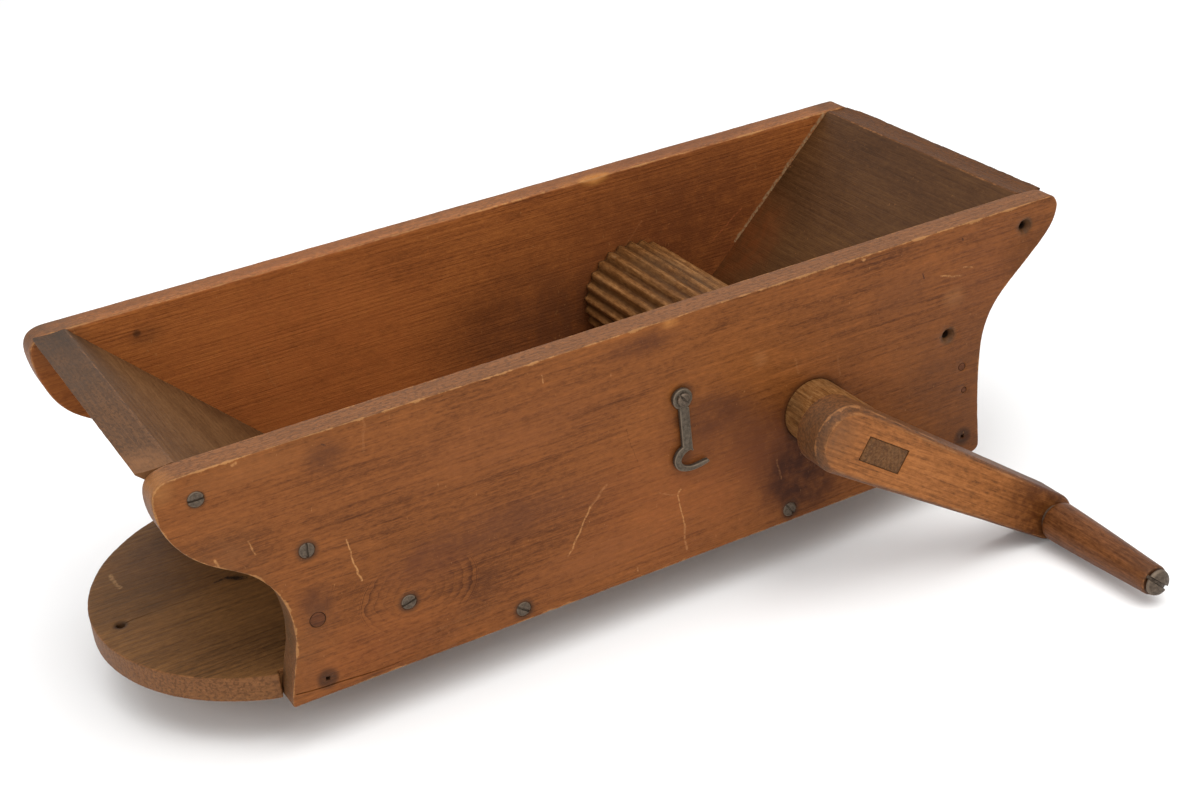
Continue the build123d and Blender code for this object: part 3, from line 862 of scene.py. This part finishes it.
side_board(
    "back_board", back_y, inner_back, back_wood, back_outline, (), 4.0,
    edge_wear(1.2, 0.5, 14.0),
    edge_wear(1.5, 0.8, 17.0, [(108, 200, 11, 3.2), (84, 200, 10, 1.6), (-20, 200, 10, 1.4),
                               (-180, 200, 20, 0.8),
                               (200, 200, 14, 1.2), (280, 200, 30, 0.8)]))


# ---------------------------------------------------------------- end boards
def end_board(node, sign, material, seed, rough_top):
    """A slanted board: its section is swept from one side board to the other."""
    outline = plane_loops(node, 1, inner_front)[0]
    top = outline[outline[:, 1] > outline[:, 1].max() - 6]
    low = outline[outline[:, 1] < outline[:, 1].min() + 0.1]
    order = [top[np.argmax(top[:, 0] * -sign)], top[np.argmax(top[:, 0] * sign)],
             low[np.argmax(low[:, 0] * sign)], low[np.argmax(low[:, 0] * -sign)]]
    corners = np.array(order)        # inner top, outer top, outer low, inner low
    shell = Shell()
    rings = []
    span = np.arange(inner_front, inner_back + 0.1, (inner_back - inner_front) / 84)
    for y in span:
        wear = [max(0.6, 1.5 + 0.8 * rough_line(y * 1.3, seed + 3 * k)
                    + 2.2 * max(0.0, wave(y / 12, seed + 9 * k) - 0.35)) for k in range(4)]
        wear[1] += rough_top * 2.4 * max(0.0, (y - inner_back + 18) / 18)
        wear[1] += rough_top * (1 + 0.6 * wave(y / 16, seed + 40) + 0.5 * wave(y / 5, seed + 50))
        wear[2] = wear[3] = 0.8
        points, off, side = [], [], []
        for k in range(4):
            a, p, b = corners[k - 1], corners[k], corners[(k + 1) % 4]
            u = (a - p) / np.linalg.norm(a - p)
            v = (b - p) / np.linalg.norm(b - p)
            for t in np.linspace(0, 1, 6):
                q = ((1 - t) ** 2 * (p + u * wear[k]) + 2 * t * (1 - t) * p
                     + t * t * (p + v * wear[k]))
                points.append(q)
                off.append(abs(t - 0.5) * 2 * wear[k])
                side.append(t if k == 0 else 1 - t if k == 1 else 0.0)
            start, end = p + v * wear[k], b - v * wear[(k + 1) % 4]
            parts = 5 if k in (0, 2) else 34
            for m in range(1, parts):
                q = start + (end - start) * m / parts
                off.append(min(np.linalg.norm(q - p), np.linalg.norm(q - b))
                           if k != 2 else 9.0)
                side.append(1.0 if k == 0 else 0.0)
                n = np.array([v[1], -v[0]])
                hollow = 0.25 * (1 + wave(q[0] / 20, y / 26, seed + k)) + 0.1
                if k == 0:
                    hollow += 0.35 * (1 + wave(y / 30, 3.3, seed)) * math.sin(math.pi * m / parts)
                inner = corners.mean(0) - q
                points.append(q + n * math.copysign(hollow, float(n @ inner)))
        rings.append(shell.add([(p[0], y, p[1]) for p in points], off, side))
    for a, b in zip(rings, rings[1:]):
        shell.band(a, b)
    for ring in (rings[0], rings[-1]):
        middle = np.mean([shell.points[i] for i in ring], axis=0)
        shell.fan(ring, middle)
    return shell.piece(node + "_worn", "trough", [node], material, 50)


left_wood = wood(
    "pine_left_end", seen_end(128, 92, 60), seen_end(104, 73, 47), seen_end(76, 52, 34),
    along=(0, 0, math.pi / 2), pith=(-0.30, 0.70), rings=0.005, ring_depth=0.2, wander=0.01,
    worn=WORN, worn_width=0.8, worn_share=0.6, side_tint=seen_end(112, 78, 52), blotch=0.5,
    fibre=0.3, seed=3.1,
    patches=[((-357, 120, top_z), 4, 60, (1, 1, 1), seen_end(64, 54, 46), 0.85),
             ((-357, 50, top_z), 10, 60, (1, 0.8, 1), seen_end(78, 62, 50), 0.6),
             ((-362, -118, top_z), 4, 34, (1, 1, 1), seen_end(140, 96, 62), 0.7)]).material
right_wood = wood(
    "pine_right_end", seen_end(102, 70, 42), seen_end(84, 56, 35), seen_end(62, 41, 26),
    along=(0, 0, math.pi / 2), pith=(0.30, 0.70), rings=0.005, ring_depth=0.12, wander=0.01,
    worn=WORN, worn_width=0.9, worn_share=0.5, side_tint=seen_end(106, 62, 22), blotch=0.5,
    fibre=0.23, seed=5.3,
    patches=[((250, inner_back, 100), 20, 70, (1, 1, 1), seen_end(120, 62, 32), 0.5)]).material
end_board("left_end_board", -1, left_wood, 31.0, 0.6)
end_board("right_end_board", 1, right_wood, 47.0, 1.8)

# ---------------------------------------------------------------- base board
base_loops = plane_loops("base_board", 2, base_z)
base_shell = Shell()
tongue_hole = base_loops[1]
hole_mid = tongue_hole.mean(0)
tongue_crack = [(hole_mid[0] + 5, hole_mid[1] + 1), (hole_mid[0] + 10, hole_mid[1] + 2),
                (hole_mid[0] + 16, hole_mid[1] + 1.5), (hole_mid[0] + 24, hole_mid[1] + 3)]


def on_base(u, v, depth):
    return (u, v, base_z - depth)


cut_board(base_shell, base_loops[0], on_base, base_z, edge_wear(1.3, 0.6, 61.0),
          edge_wear(1.0, 0.4, 67.0), [(tongue_hole, None, 1.4)], seed=8.0,
          lines=[(tongue_crack, 0.8, 3.0)],
          relief=lambda u, v: 0.15 + 0.15 * wave(u / 36, v / 16, 5.5))
base_wood = wood(
    "pine_base", seen_tongue_shade_lifted(104, 72, 41), seen_tongue_shade_lifted(84, 58, 34), seen_tongue_shade_lifted(58, 40, 25),
    pith=(-0.7, 0.02), rings=0.006, ring_depth=0.22, wander=0.02, worn=WORN,
    worn_width=1.2, worn_share=0.6,
    side_tint=seen(144, 95, 58),
    blotch=0.6, fibre=0.3, seed=2.3, plane=(0, 1), level=(2, base_z),
    marks=[((-363.5, 70), (-363, 47), 2.2, seen_tongue_shade_lifted(140, 108, 72), 0.5),
           ((-289.6, 10), (-279, 2), 3.4, (0.01, 0.007, 0.005), 0.9),
           ((-300, 10), (-288, 12), 1.8, (0.015, 0.01, 0.007), 0.8)],
    patches=[((-320, 60, base_z), 10, 70, (1, 1, 1), seen_tongue_shade_lifted(66, 46, 32), 0.5),
             ((-362, 28, base_z), 10, 60, (1, 1, 1), seen_tongue_shade_lifted(68, 48, 29), 0.5)],
    spots=[((hole_mid[0], hole_mid[1], base_z), 3.5, 7.5, 0.8),
           ((-285, 6, base_z), 2.0, 8.0, 0.6)]).material
base_shell.piece("base_board_worn", "trough", ["base_board"], base_wood)


# ---------------------------------------------------------------- turned pieces
def turned(shell, centre, axis_points, count=72, seed=0.0):
    """Rings round an axis along Y. axis_points are (y, radius, arris, side) in turn."""
    rings = []
    for y, radius, off, side in axis_points:
        points = []
        for i in range(count):
            a = 2 * math.pi * i / count
            r = radius(a, y) if callable(radius) else radius
            r += 0.06 * wave(math.cos(a) * 3, math.sin(a) * 3, y / 18 + seed) * min(1, r / 8)
            points.append((centre[0] + r * math.cos(a), y, centre[2] + r * math.sin(a)))
        rings.append(shell.add(points, off, side))
    for a, b in zip(rings, rings[1:]):
        shell.band(a, b)
    return rings


roller_points, _ = cad_mesh("fluted_roller")
low, high = box_mm("fluted_roller")
reach = np.hypot(roller_points[:, 0] - ROLLER[0], roller_points[:, 2] - ROLLER[2])
ridge_r = reach.max()
fluted = roller_points[reach > 30]
flute_low, flute_high = fluted[:, 1].min(), fluted[:, 1].max()
journal = roller_points[(reach < 30) & (roller_points[:, 1] > flute_high + 1)]
journal_r = np.hypot(journal[:, 0] - ROLLER[0], journal[:, 2] - ROLLER[2]).max()
groove_r = reach[reach > 30].min()
ridges = fluted[(reach[reach > 30] > ridge_r - 0.02)]
ridge_angles = np.degrees(np.arctan2(ridges[:, 2] - ROLLER[2], ridges[:, 0] - ROLLER[0]))
flute_count = 26
turn = 360 / flute_count
in_step = np.mean(np.exp(1j * np.radians(ridge_angles * flute_count)))
phase = np.degrees(np.angle(in_step)) / flute_count
arm_low, arm_high = box_mm("crank_arm")
tenon = roller_points[roller_points[:, 1] < arm_high[1] - 1]
tenon_end = tenon[:, 1].min()
crank = math.atan2(GRIP[2] - ROLLER[2], GRIP[0] - ROLLER[0])
along_arm = np.array([math.cos(crank), math.sin(crank)])
up_arm = np.array([-math.sin(crank), math.cos(crank)])
flat = (tenon[:, [0, 2]] - [ROLLER[0], ROLLER[2]])
tenon_long = abs(flat @ along_arm).max()
tenon_short = abs(flat @ up_arm).max()


def ridge_radius(a, y):
    """Rounded ridges and grooves of the roller, more worn here and there."""
    k = (math.degrees(a) - phase) / turn
    t = abs(k - round(k)) * 2           # 0 on a ridge, 1 in a groove
    worn = 0.5 + 0.5 * wave(round(k) * 1.7, y / 22, 3.0)
    crest = ridge_r - 0.35 - 0.5 * worn
    width = 0.30
    if t < width:
        return crest - 0.9 * (t / width) ** 2
    u = (t - width) / (1 - width)
    return groove_r + 0.1 + (crest - 0.9 - groove_r - 0.1) * (1 - math.sin(u * math.pi / 2)) ** 0.8


def groove_depth(a, y):
    return 0.4 + max(0.0, (ridge_r - ridge_radius(a, y)) * 1.0)


count = 416                          # 16 points to each flute
TENON_FIT = 0.965                    # the tenon is a little smaller than its mortise
END_GRAIN = 0.42                     # how far the side tint covers the tenon's end
roller_shell = Shell()
rings = []


def ring(y, radius_of, off_of, side):
    points, off = [], []
    for i in range(count):
        a = 2 * math.pi * i / count
        r = radius_of(a)
        points.append((ROLLER[0] + r * math.cos(a), y, ROLLER[2] + r * math.sin(a)))
        off.append(off_of(a))
    rings.append(roller_shell.add(points, off, side))


def plain(a):
    """An arris value that shows neither wear nor a groove."""
    return 1.1


def block(a):
    """The tenon's section, with slightly rounded corners."""
    b = a - crank
    c, d = abs(math.cos(b)), abs(math.sin(b))
    r = min(tenon_long / max(c, 1e-6), tenon_short / max(d, 1e-6))
    corner = math.hypot(tenon_long, tenon_short)
    return r if r < corner - 0.7 else corner - 0.7


journal_back = high[1]
steps = [(journal_back, lambda a: journal_r - 3.0, 3.0, 1.0),
         (journal_back - 0.3, lambda a: journal_r - 0.9, 0.8, 1.0),
         (journal_back - 1.4, lambda a: journal_r - 0.05, 0.6, 0.0),
         (flute_high + 1.0, lambda a: journal_r - 0.05, 1.1, 0.0)]
for y, radius_of, off, side in steps:
    ring(y, radius_of, lambda a, off=off: off, side)
for inset, drop in ((0.0, 4.0), (0.05, 1.1), (0.5, 0.35), (1.4, 0.0)):
    ring(flute_high - inset, lambda a, d=drop: ridge_radius(a, flute_high) - d,
         lambda a: groove_depth(a, flute_high), 0.6)
for y in np.linspace(flute_high - 4, flute_low + 4, 60):
    ring(y, lambda a, y=y: ridge_radius(a, y), lambda a, y=y: groove_depth(a, y), 0.0)
for inset, drop in ((1.4, 0.0), (0.5, 0.35), (0.05, 1.1), (0.0, 4.0)):
    ring(flute_low + inset, lambda a, d=drop: ridge_radius(a, flute_low) - d,
         lambda a: groove_depth(a, flute_low), 0.6)
shoulder = arm_high[1]
ring(flute_low - 0.5, lambda a: journal_r - 0.05, plain, 0.0)
for y in np.linspace(flute_low - 4, shoulder + 4, 18):
    ring(y, lambda a, y=y: journal_r - 0.05 - 0.12 * (
        1 + wave(3 * math.cos(a), 3 * math.sin(a), y / 12)), plain, 0.0)
for lift, drop in ((2.2, 0.15), (1.0, 0.7), (0.35, 1.7)):
    ring(shoulder + lift, lambda a, d=drop: journal_r - d,
         lambda a, d=drop: abs(d - 0.7) + 0.1, 0.0)
ring(shoulder + 0.3, lambda a: max(block(a), journal_r - 4.0), plain, 0.0)
ring(shoulder + 0.2, block, plain, 0.0)
for lift, share, drop, side in ((8.0, 1.0, 0.0, 1.0), (6.5, TENON_FIT, 0.0, 1.0),
                                (0.6, TENON_FIT, 0.0, END_GRAIN),
                                (0.25, TENON_FIT, 0.2, END_GRAIN),
                                (0.05, TENON_FIT, 0.8, END_GRAIN)):
    ring(tenon_end + lift, lambda a, k=share, d=drop: block(a) * k - d, plain, side)
for share in (0.8, 0.6, 0.4, 0.2):
    ring(tenon_end + 0.05, lambda a, k=share: (block(a) - 0.9) * k, plain, END_GRAIN)
for a, b in zip(rings, rings[1:]):
    roller_shell.band(a, b)
roller_shell.fan(rings[0], (ROLLER[0], journal_back, ROLLER[2]), 1.1, 1.0)
roller_shell.fan(rings[-1], (ROLLER[0], tenon_end + 0.05, ROLLER[2]), 1.1, END_GRAIN)

r = wood(
    "roller_wood", seen(160, 114, 70), seen(126, 83, 46), seen(80, 50, 28),
    along=(0, 0, math.pi / 2), pith=(-0.1335, 0.11), rings=0.0035, ring_depth=0.2,
    worn=seen(166, 128, 88), worn_width=0.9, side_tint=seen(92, 60, 36), blotch=0.4,
    fibre=0.45, grime=(seen(96, 74, 52), 0.4), groove=(seen(62, 38, 22), 1.6, 5.0, 0.85))
roller_shell.piece("fluted_roller_worn", "roller", ["fluted_roller"],
                   r.material, 45)

# ---------------------------------------------------------------- crank arm
arm_front = arm_low[1]
arm_thick = arm_high[1] - arm_low[1]
arm_back_loops = plane_loops("crank_arm", 1, arm_high[1])


def to_arm(loop):
    d = loop - [ROLLER[0], ROLLER[2]]
    return np.stack([d @ along_arm, d @ up_arm], 1)


arm_outline = to_arm(arm_back_loops[0])
arm_holes = [to_arm(one) for one in arm_back_loops[1:]]
mortise = max(arm_holes, key=lambda one: abs(area_of(one)))
arm_shell = Shell()


def on_arm(u, v, depth):
    p = np.array([ROLLER[0], ROLLER[2]]) + along_arm * u + up_arm * v
    return (p[0], arm_front + depth, p[1])


def arm_edge(p, s, n):
    """A crisp chamfer round the head that becomes a soft rounding along the arm."""
    head = min(1.0, max(0.0, (12 - p[0]) / 60))
    under = 1.0 if p[1] < 0 else 0.0
    crisp = max(head, 0.35 * under * max(0.0, 1 - p[0] / 120))
    soft_size = 1.0 - 0.4 * min(1.0, max(0.0, (p[0] - 120) / 60))
    soft = [(4.4, 0.0), (3.3, 0.25), (2.4, 0.8), (1.2, 2.1), (0.5, 3.4), (0.12, 4.8), (0.0, 6.4)]
    hard = [(5.6, 0.0), (5.0, 0.12), (4.5, 0.6), (2.4, 3.6), (0.5, 6.4), (0.12, 7.2), (0.0, 8.2)]
    grow = 1.0 + 0.06 * rough_line(s * 1.4, 71.0)
    return [((a[0] * (1 - crisp) * soft_size + b[0] * crisp) * grow,
             (a[1] * (1 - crisp) * soft_size + b[1] * crisp) * grow)
            for a, b in zip(soft, hard)]


cut_board(arm_shell, arm_outline, on_arm, arm_thick, arm_edge, edge_wear(1.2, 0.5, 83.0),
          [(mortise, None, 0.35)], grid=5.0, corner=1.0, wobble=0.25, seed=12.0, wall_rows=6,
          relief=lambda u, v: 0.12 + 0.12 * wave(u / 24, v / 10, 8.0),
          front_arris=(2.2, 0.2, 0.6, 3.0, 0.5, 0.2, 2.2))
arm_wood = wood(
    "arm_wood", seen(178, 113, 62), seen(151, 93, 48), seen(98, 59, 33),
    along=(0, crank, 0), origin=(ROLLER[0], 0, ROLLER[2]), pith=(-0.26, 0.112), rings=0.0045,
    ring_depth=0.2, worn=WORN, worn_width=1.7, side_tint=seen(110, 71, 43), blotch=0.35,
    fibre=0.45,
    patches=[((GRIP[0], arm_front, GRIP[2]), 30, 74, (1, 1, 1), seen(86, 48, 26), 0.95),
             ((ROLLER[0] - 48, arm_front + 8, ROLLER[2] + 30), 6, 40, (1, 1, 1),
              seen(94, 70, 52), 0.6)]).material
arm_shell.piece("crank_arm_worn", "roller", ["crank_arm"], arm_wood, 50)

# ---------------------------------------------------------------- handle and bolt
grip_low, grip_high = box_mm("crank_handle")
grip_points, _ = cad_mesh("crank_handle")
grip_r = np.hypot(grip_points[:, 0] - GRIP[0], grip_points[:, 2] - GRIP[2])
foot_y, tip_y = grip_high[1], grip_low[1]
big = grip_r.max()
small = grip_r[grip_points[:, 1] < tip_y + 0.05].max()
bore = grip_r.min()
handle_shell = Shell()
long = foot_y - tip_y


def grip_profile(t):
    """Radius of the sleeve from its foot, t = 0, to its tip, t = 1."""
    swell = 0.35 * math.sin(math.pi * min(1, t * 1.25))
    return big - 0.25 + (small + 0.2 - big) * t ** 1.12 + swell * 0.6


profile = [(foot_y - 0.02, bore, 9.0, 1.0), (foot_y - 0.02, big - 6.2, 9.0, 1.0),
           (foot_y - 0.5, big - 4.0, 9.0, 0.3), (foot_y - 1.6, big - 2.1, 9.0, 0.0),
           (foot_y - 3.2, big - 0.9, 9.0, 0.0), (foot_y - 5.4, big - 0.4, 9.0, 0.0)]
for t in np.linspace(0.075, 0.965, 40):
    profile.append((foot_y - t * long, min(big, grip_profile(t)), 9.0, 0.0))
profile += [(tip_y + 2.2, small + 0.1, 2.0, 0.0), (tip_y + 1.0, small - 0.15, 0.6, 0.2),
            (tip_y + 0.3, small - 0.75, 0.2, 0.5), (tip_y + 0.02, small - 1.8, 1.0, 1.0),
            (tip_y + 0.02, bore, 9.0, 1.0)]
rings = turned(handle_shell, GRIP, profile, 96, seed=5.0)
handle_shell.band(rings[-1], rings[0])
handle_wood = wood(
    "handle_wood", seen(134, 84, 50), seen(110, 68, 40), seen(80, 47, 28),
    along=(0, 0, math.pi / 2), pith=(-0.33, 0.05), rings=0.005, ring_depth=0.25, worn=WORN,
    worn_width=0.8, side_tint=seen(90, 60, 42), blotch=0.5, fibre=0.5, roughness=0.42,
    patches=[((GRIP[0], tip_y, GRIP[2]), 8, 40, (1, 1, 1), seen(92, 62, 44), 0.5)]).material
handle_shell.piece("crank_handle_worn", "handle", ["crank_handle"],
                   handle_wood, 50)

bolt_low, bolt_high = box_mm("handle_bolt")
bolt_points, _ = cad_mesh("handle_bolt")
bolt_reach = np.hypot(bolt_points[:, 0] - GRIP[0], bolt_points[:, 2] - GRIP[2])
head_r = bolt_reach.max()
head_foot = bolt_points[bolt_reach > head_r - 0.05][:, 1].max()
shank_r = bolt_reach[bolt_points[:, 1] > head_foot + 5].max()


def slotted_head(shell, at, out_axis, radius, tall, dome, slot_turn, slot_half, slot_deep,
                 shank, shank_long, right, up, cells=22, rim=0.6):
    """A screw or bolt head with its slot, as a grid over the head, and its shank."""
    at, out_axis = np.array(at, float), np.array(out_axis, float)
    right, up = np.array(right, float), np.array(up, float)
    c, d = math.cos(math.radians(slot_turn)), math.sin(math.radians(slot_turn))
    a_dir, b_dir = right * c + up * d, up * c - right * d
    cuts = [-1.0, -0.93, -0.8, -0.65, -0.5, -0.36, -0.24]
    edge = slot_half / radius
    cuts = [k for k in cuts if k < -edge - 0.06] + [-edge - 0.05, -edge, -edge + 0.03, 0.0]
    cuts = cuts + [-k for k in reversed(cuts[:-1])]
    grid = []
    for k in cuts:
        v = k * radius * 0.999
        half = math.sqrt(max(radius * radius - v * v, 0.0))
        row = []
        for j in range(cells + 1):
            w = math.sin((j / cells - 0.5) * math.pi)
            u = w * half
            rr = math.hypot(u, v) / radius
            height = tall + dome * (1 - rr * rr) + 0.06 * wave(u * 0.9, v * 0.9, at[0])
            height -= rim * max(0.0, (rr - 0.84) / 0.16) ** 2
            in_slot = abs(v) < slot_half - 1e-6
            if in_slot:
                height -= slot_deep
            row.append((at + a_dir * u + b_dir * v + out_axis * height,
                        (1 - rr) * radius if not in_slot else 9.0))
        grid.append(row)
    ids = [shell.add([p for p, _ in row], [o for _, o in row], 0.0) for row in grid]
    for one, two in zip(ids[1:-1], ids[2:-1]):
        shell.band(one, two, closed=False)
    for pole, row in ((ids[0], ids[1]), (ids[-1], ids[-2])):
        for j in range(cells):
            shell.faces.append((row[j], row[j + 1], pole[cells // 2]))
    rim_ids = ([row[0] for row in ids[1:-1]] + [ids[-1][cells // 2]]
               + [row[-1] for row in reversed(ids[1:-1])] + [ids[0][cells // 2]])
    previous = rim_ids
    for r, depth in ((radius * 0.995, tall - rim - 0.9 if tall > 2 else -0.9),
                     (shank, -0.95 if tall > 2 else -radius * 0.75), (shank, -shank_long + 3),
                     (shank * 0.4, -shank_long)):
        points = []
        for i in rim_ids:
            q = np.array(shell.points[i]) - at
            q = q - out_axis * float(q @ out_axis)
            q = q / np.linalg.norm(q) * r
            points.append(at + q + out_axis * depth)
        row = shell.add(points, 5.0, 0.0)
        shell.band(previous, row)
        previous = row
    shell.fan(previous, at - out_axis * shank_long, 5.0)


OUT, RIGHT, UP = (0, -1, 0), (1, 0, 0), (0, 0, 1)
bolt_shell = Shell()
head_tall = head_foot - bolt_low[1]
slotted_head(bolt_shell, (GRIP[0], head_foot, GRIP[2]), OUT, head_r, head_tall - 3.4, 3.2,
             138.0, 1.0, 3.0, shank_r, bolt_high[1] - head_foot, RIGHT, UP, 28, 1.8)
bolt_shell.piece("handle_bolt_worn", "roller", ["handle_bolt"], iron_mat, 40)


# ---------------------------------------------------------------- screws and plugs
def centres(node, y, near=0.6):
    """Middle of each solid's face at y, by joining points that lie close together."""
    points, _ = cad_mesh(node)
    points = points[abs(points[:, 1] - y) < near]
    groups = []
    for p in points:
        for group in groups:
            if math.hypot(p[0] - group[0][0], p[2] - group[0][2]) < 14:
                group.append(p)
                break
        else:
            groups.append([p])
    return [(0.5 * (min(q[0] for q in g) + max(q[0] for q in g)),
             0.5 * (min(q[2] for q in g) + max(q[2] for q in g))) for g in groups]


SLOTS = {-339: 0, -273: 86, -207: 14, 184: 65, 335: 20, 260: -35, -122: -38, 108: -56}
for node, y, out in (("front_end_screws", front_y, -1), ("front_base_screws", front_y, -1),
                     ("back_end_screws", back_y, 1), ("back_base_screws", back_y, 1)):
    shell = Shell()
    low, high = box_mm(node)
    for x, z in centres(node, y):
        turn_of = min(SLOTS, key=lambda k: abs(k - x))
        right = RIGHT if out < 0 else (-1, 0, 0)
        slotted_head(shell, (x, y - out * 0.25, z), (0, out, 0), 5.75, 0.0, 0.45,
                     SLOTS[turn_of], 0.62, 1.25, 2.9, (high[1] - low[1]) - 1, right, UP)
    shell.piece(node + "_worn", "trough", [node], iron_mat, 40)

plug_wood = wood("plug_wood", seen(118, 70, 42), seen(102, 60, 36), seen(78, 46, 30),
                 pith=(0.1, 0.03), rings=0.0016, ring_depth=0.3, blotch=0.3,
                 side_tint=seen(78, 48, 30), fibre=0.3, seed=0.9).material
for node in ("board_plug", "peg_plugs"):
    shell = Shell()
    low, high = box_mm(node)
    for x, z in centres(node, low[1]):
        points, _ = cad_mesh(node)
        near = points[np.hypot(points[:, 0] - x, points[:, 2] - z) < 8]
        size = np.hypot(near[:, 0] - x, near[:, 2] - z).max()
        face_y = low[1] + 0.25
        steps = [(high[1], size - 0.1, 9, 1), (face_y + 0.6, size - 0.1, 9, 1),
                 (face_y + 0.12, size - 0.45, 0.5, 0.5), (face_y, size - 1.0, 1.5, 0),
                 (face_y + 0.05, size * 0.5, 4, 0)]
        rows = turned(shell, (x, 0, z), steps, 36, seed=x)
        shell.fan(rows[0], (x, high[1], z))
        shell.fan(rows[-1], (x, face_y + 0.05, z))
    shell.piece(node + "_worn", "trough", [node], plug_wood, 50)

# ---------------------------------------------------------------- hook and its screw
hook_low, hook_high = box_mm("hook")
hook_loops = plane_loops("hook", 1, hook_low[1])
hook_thick = hook_high[1] - hook_low[1]
hook_shell = Shell()


def on_hook(u, v, depth):
    bend = 0.25 * wave(v / 14, 2.0)
    return (u, hook_low[1] + max(0.0, min(hook_thick, depth + bend * (1 - depth / hook_thick))), v)


def hook_edge(p, s, n):
    thin = 1.25 if p[1] > 92 or p[0] < 20 else 1.25 - 0.035 * (p[0] - 20)
    k = max(0.45, thin + 0.15 * rough_line(s * 2, 91.0))
    return round_profile(k, 4)


cut_board(hook_shell, hook_loops[0], on_hook, hook_thick, hook_edge, hook_edge,
          [(hook_loops[1], None, 0.4)], grid=2.4, step=0.9, corner=0.6, wobble=0.12,
          seed=20.0, wall_rows=2, relief=lambda u, v: 0.1 + 0.1 * wave(u / 4, v / 5, 9.0))
hook_shell.piece("hook_forged", "hook", ["hook"], forged_mat, 60)

screw_low, screw_high = box_mm("hook_screw")
screw_shell = Shell()
slotted_head(screw_shell, (HOOK[0], screw_low[1] + 3.3, HOOK[2]), OUT, 5.1, 1.6, 1.5, 125.0,
             0.6, 1.6, 2.55, screw_high[1] - screw_low[1] - 3.4, RIGHT, UP)
screw_shell.piece("hook_screw_worn", "trough", ["hook_screw"], iron_mat, 40)

for node in ("handle_washer", "nut_washer", "handle_nut"):
    carried = frame["nodes"][node]
    carried.data.materials.clear()
    carried.data.materials.append(iron_mat)

# ---------------------------------------------------------------- camera, floor, light
VIEW_DEGREES = (-116.302, 27.244, -5.795)           # azimuth, elevation, roll
CAMERA_AT = (-0.60475, -1.28378, 0.80652)
SENSOR_MM, FOCAL_MM = 36.0, 60.60
PALE = 0.93
scene = bpy.context.scene
lens = bpy.data.cameras.new("camera")
camera = bpy.data.objects.new("camera", lens)
scene.collection.objects.link(camera)
azimuth, elevation, roll = (math.radians(v) for v in VIEW_DEGREES)
back = Vector((math.cos(elevation) * math.cos(azimuth), math.cos(elevation) * math.sin(azimuth),
               math.sin(elevation)))
level_right = (-back).cross(Vector((0, 0, 1))).normalized()
level_up = level_right.cross(-back)
right = level_right * math.cos(roll) + level_up * math.sin(roll)
up = level_up * math.cos(roll) - level_right * math.sin(roll)
camera.matrix_world = Matrix.Translation(CAMERA_AT) @ Matrix(
    (right, up, back)).transposed().to_4x4()
lens.sensor_width = SENSOR_MM
lens.lens = FOCAL_MM
lens.clip_end = 50.0
scene.camera = camera

floor_z = cad_box[0][2] - 0.001


def stage_block(name, low, high, material):
    mesh = bpy.data.meshes.new(name)
    xs, ys, zs = ((low[i], high[i]) for i in range(3))
    points = [(x, y, z) for x in xs for y in ys for z in zs]
    faces = [(0, 1, 3, 2), (4, 6, 7, 5), (0, 4, 5, 1), (2, 3, 7, 6), (0, 2, 6, 4), (1, 5, 7, 3)]
    mesh.from_pydata(points, [], faces)
    made = bpy.data.objects.new(name, mesh)
    scene.collection.objects.link(made)
    made.data.materials.append(material)
    return made


pale = Shader("pale_floor")
pale.shader.inputs["Base Color"].default_value = (PALE, PALE, PALE, 1)
pale.shader.inputs["Roughness"].default_value = 0.9
pale.shader.inputs["Specular IOR Level"].default_value = 0.1
stage_block("floor", (-9, -7, floor_z - 0.01), (11, 13, floor_z), pale.material)
stage_block("riser", (-0.16, -0.05, floor_z), (0.20, 0.09, -0.0005), pale.material)


def soft_light(name, at, aim, size, power, colour=(1, 1, 1)):
    data = bpy.data.lights.new(name, "AREA")
    data.shape = "RECTANGLE"
    data.size = data.size_y = size
    data.energy = power
    data.color = colour
    made = bpy.data.objects.new(name, data)
    scene.collection.objects.link(made)
    made.location = at
    made.rotation_euler = (Vector(aim) - Vector(at)).to_track_quat("-Z", "Y").to_euler()


soft_light("key", (0.6, -1.5, 2.3), (0, 0, 0.05), 1.8, 30, (1.0, 0.99, 0.97))
soft_light("overhead", (-0.2, -0.1, 2.4), (0, 0, 0), 2.6, 34)
soft_light("fill", (-2.0, -1.4, 1.2), (0, 0, 0.05), 1.6, 9)
world = bpy.data.worlds.new("studio")
world.use_nodes = True
background = world.node_tree.nodes["Background"]
background.inputs["Color"].default_value = (1, 1, 1, 1)
background.inputs["Strength"].default_value = 0.8
scene.world = world
scene.view_settings.view_transform = "Standard"
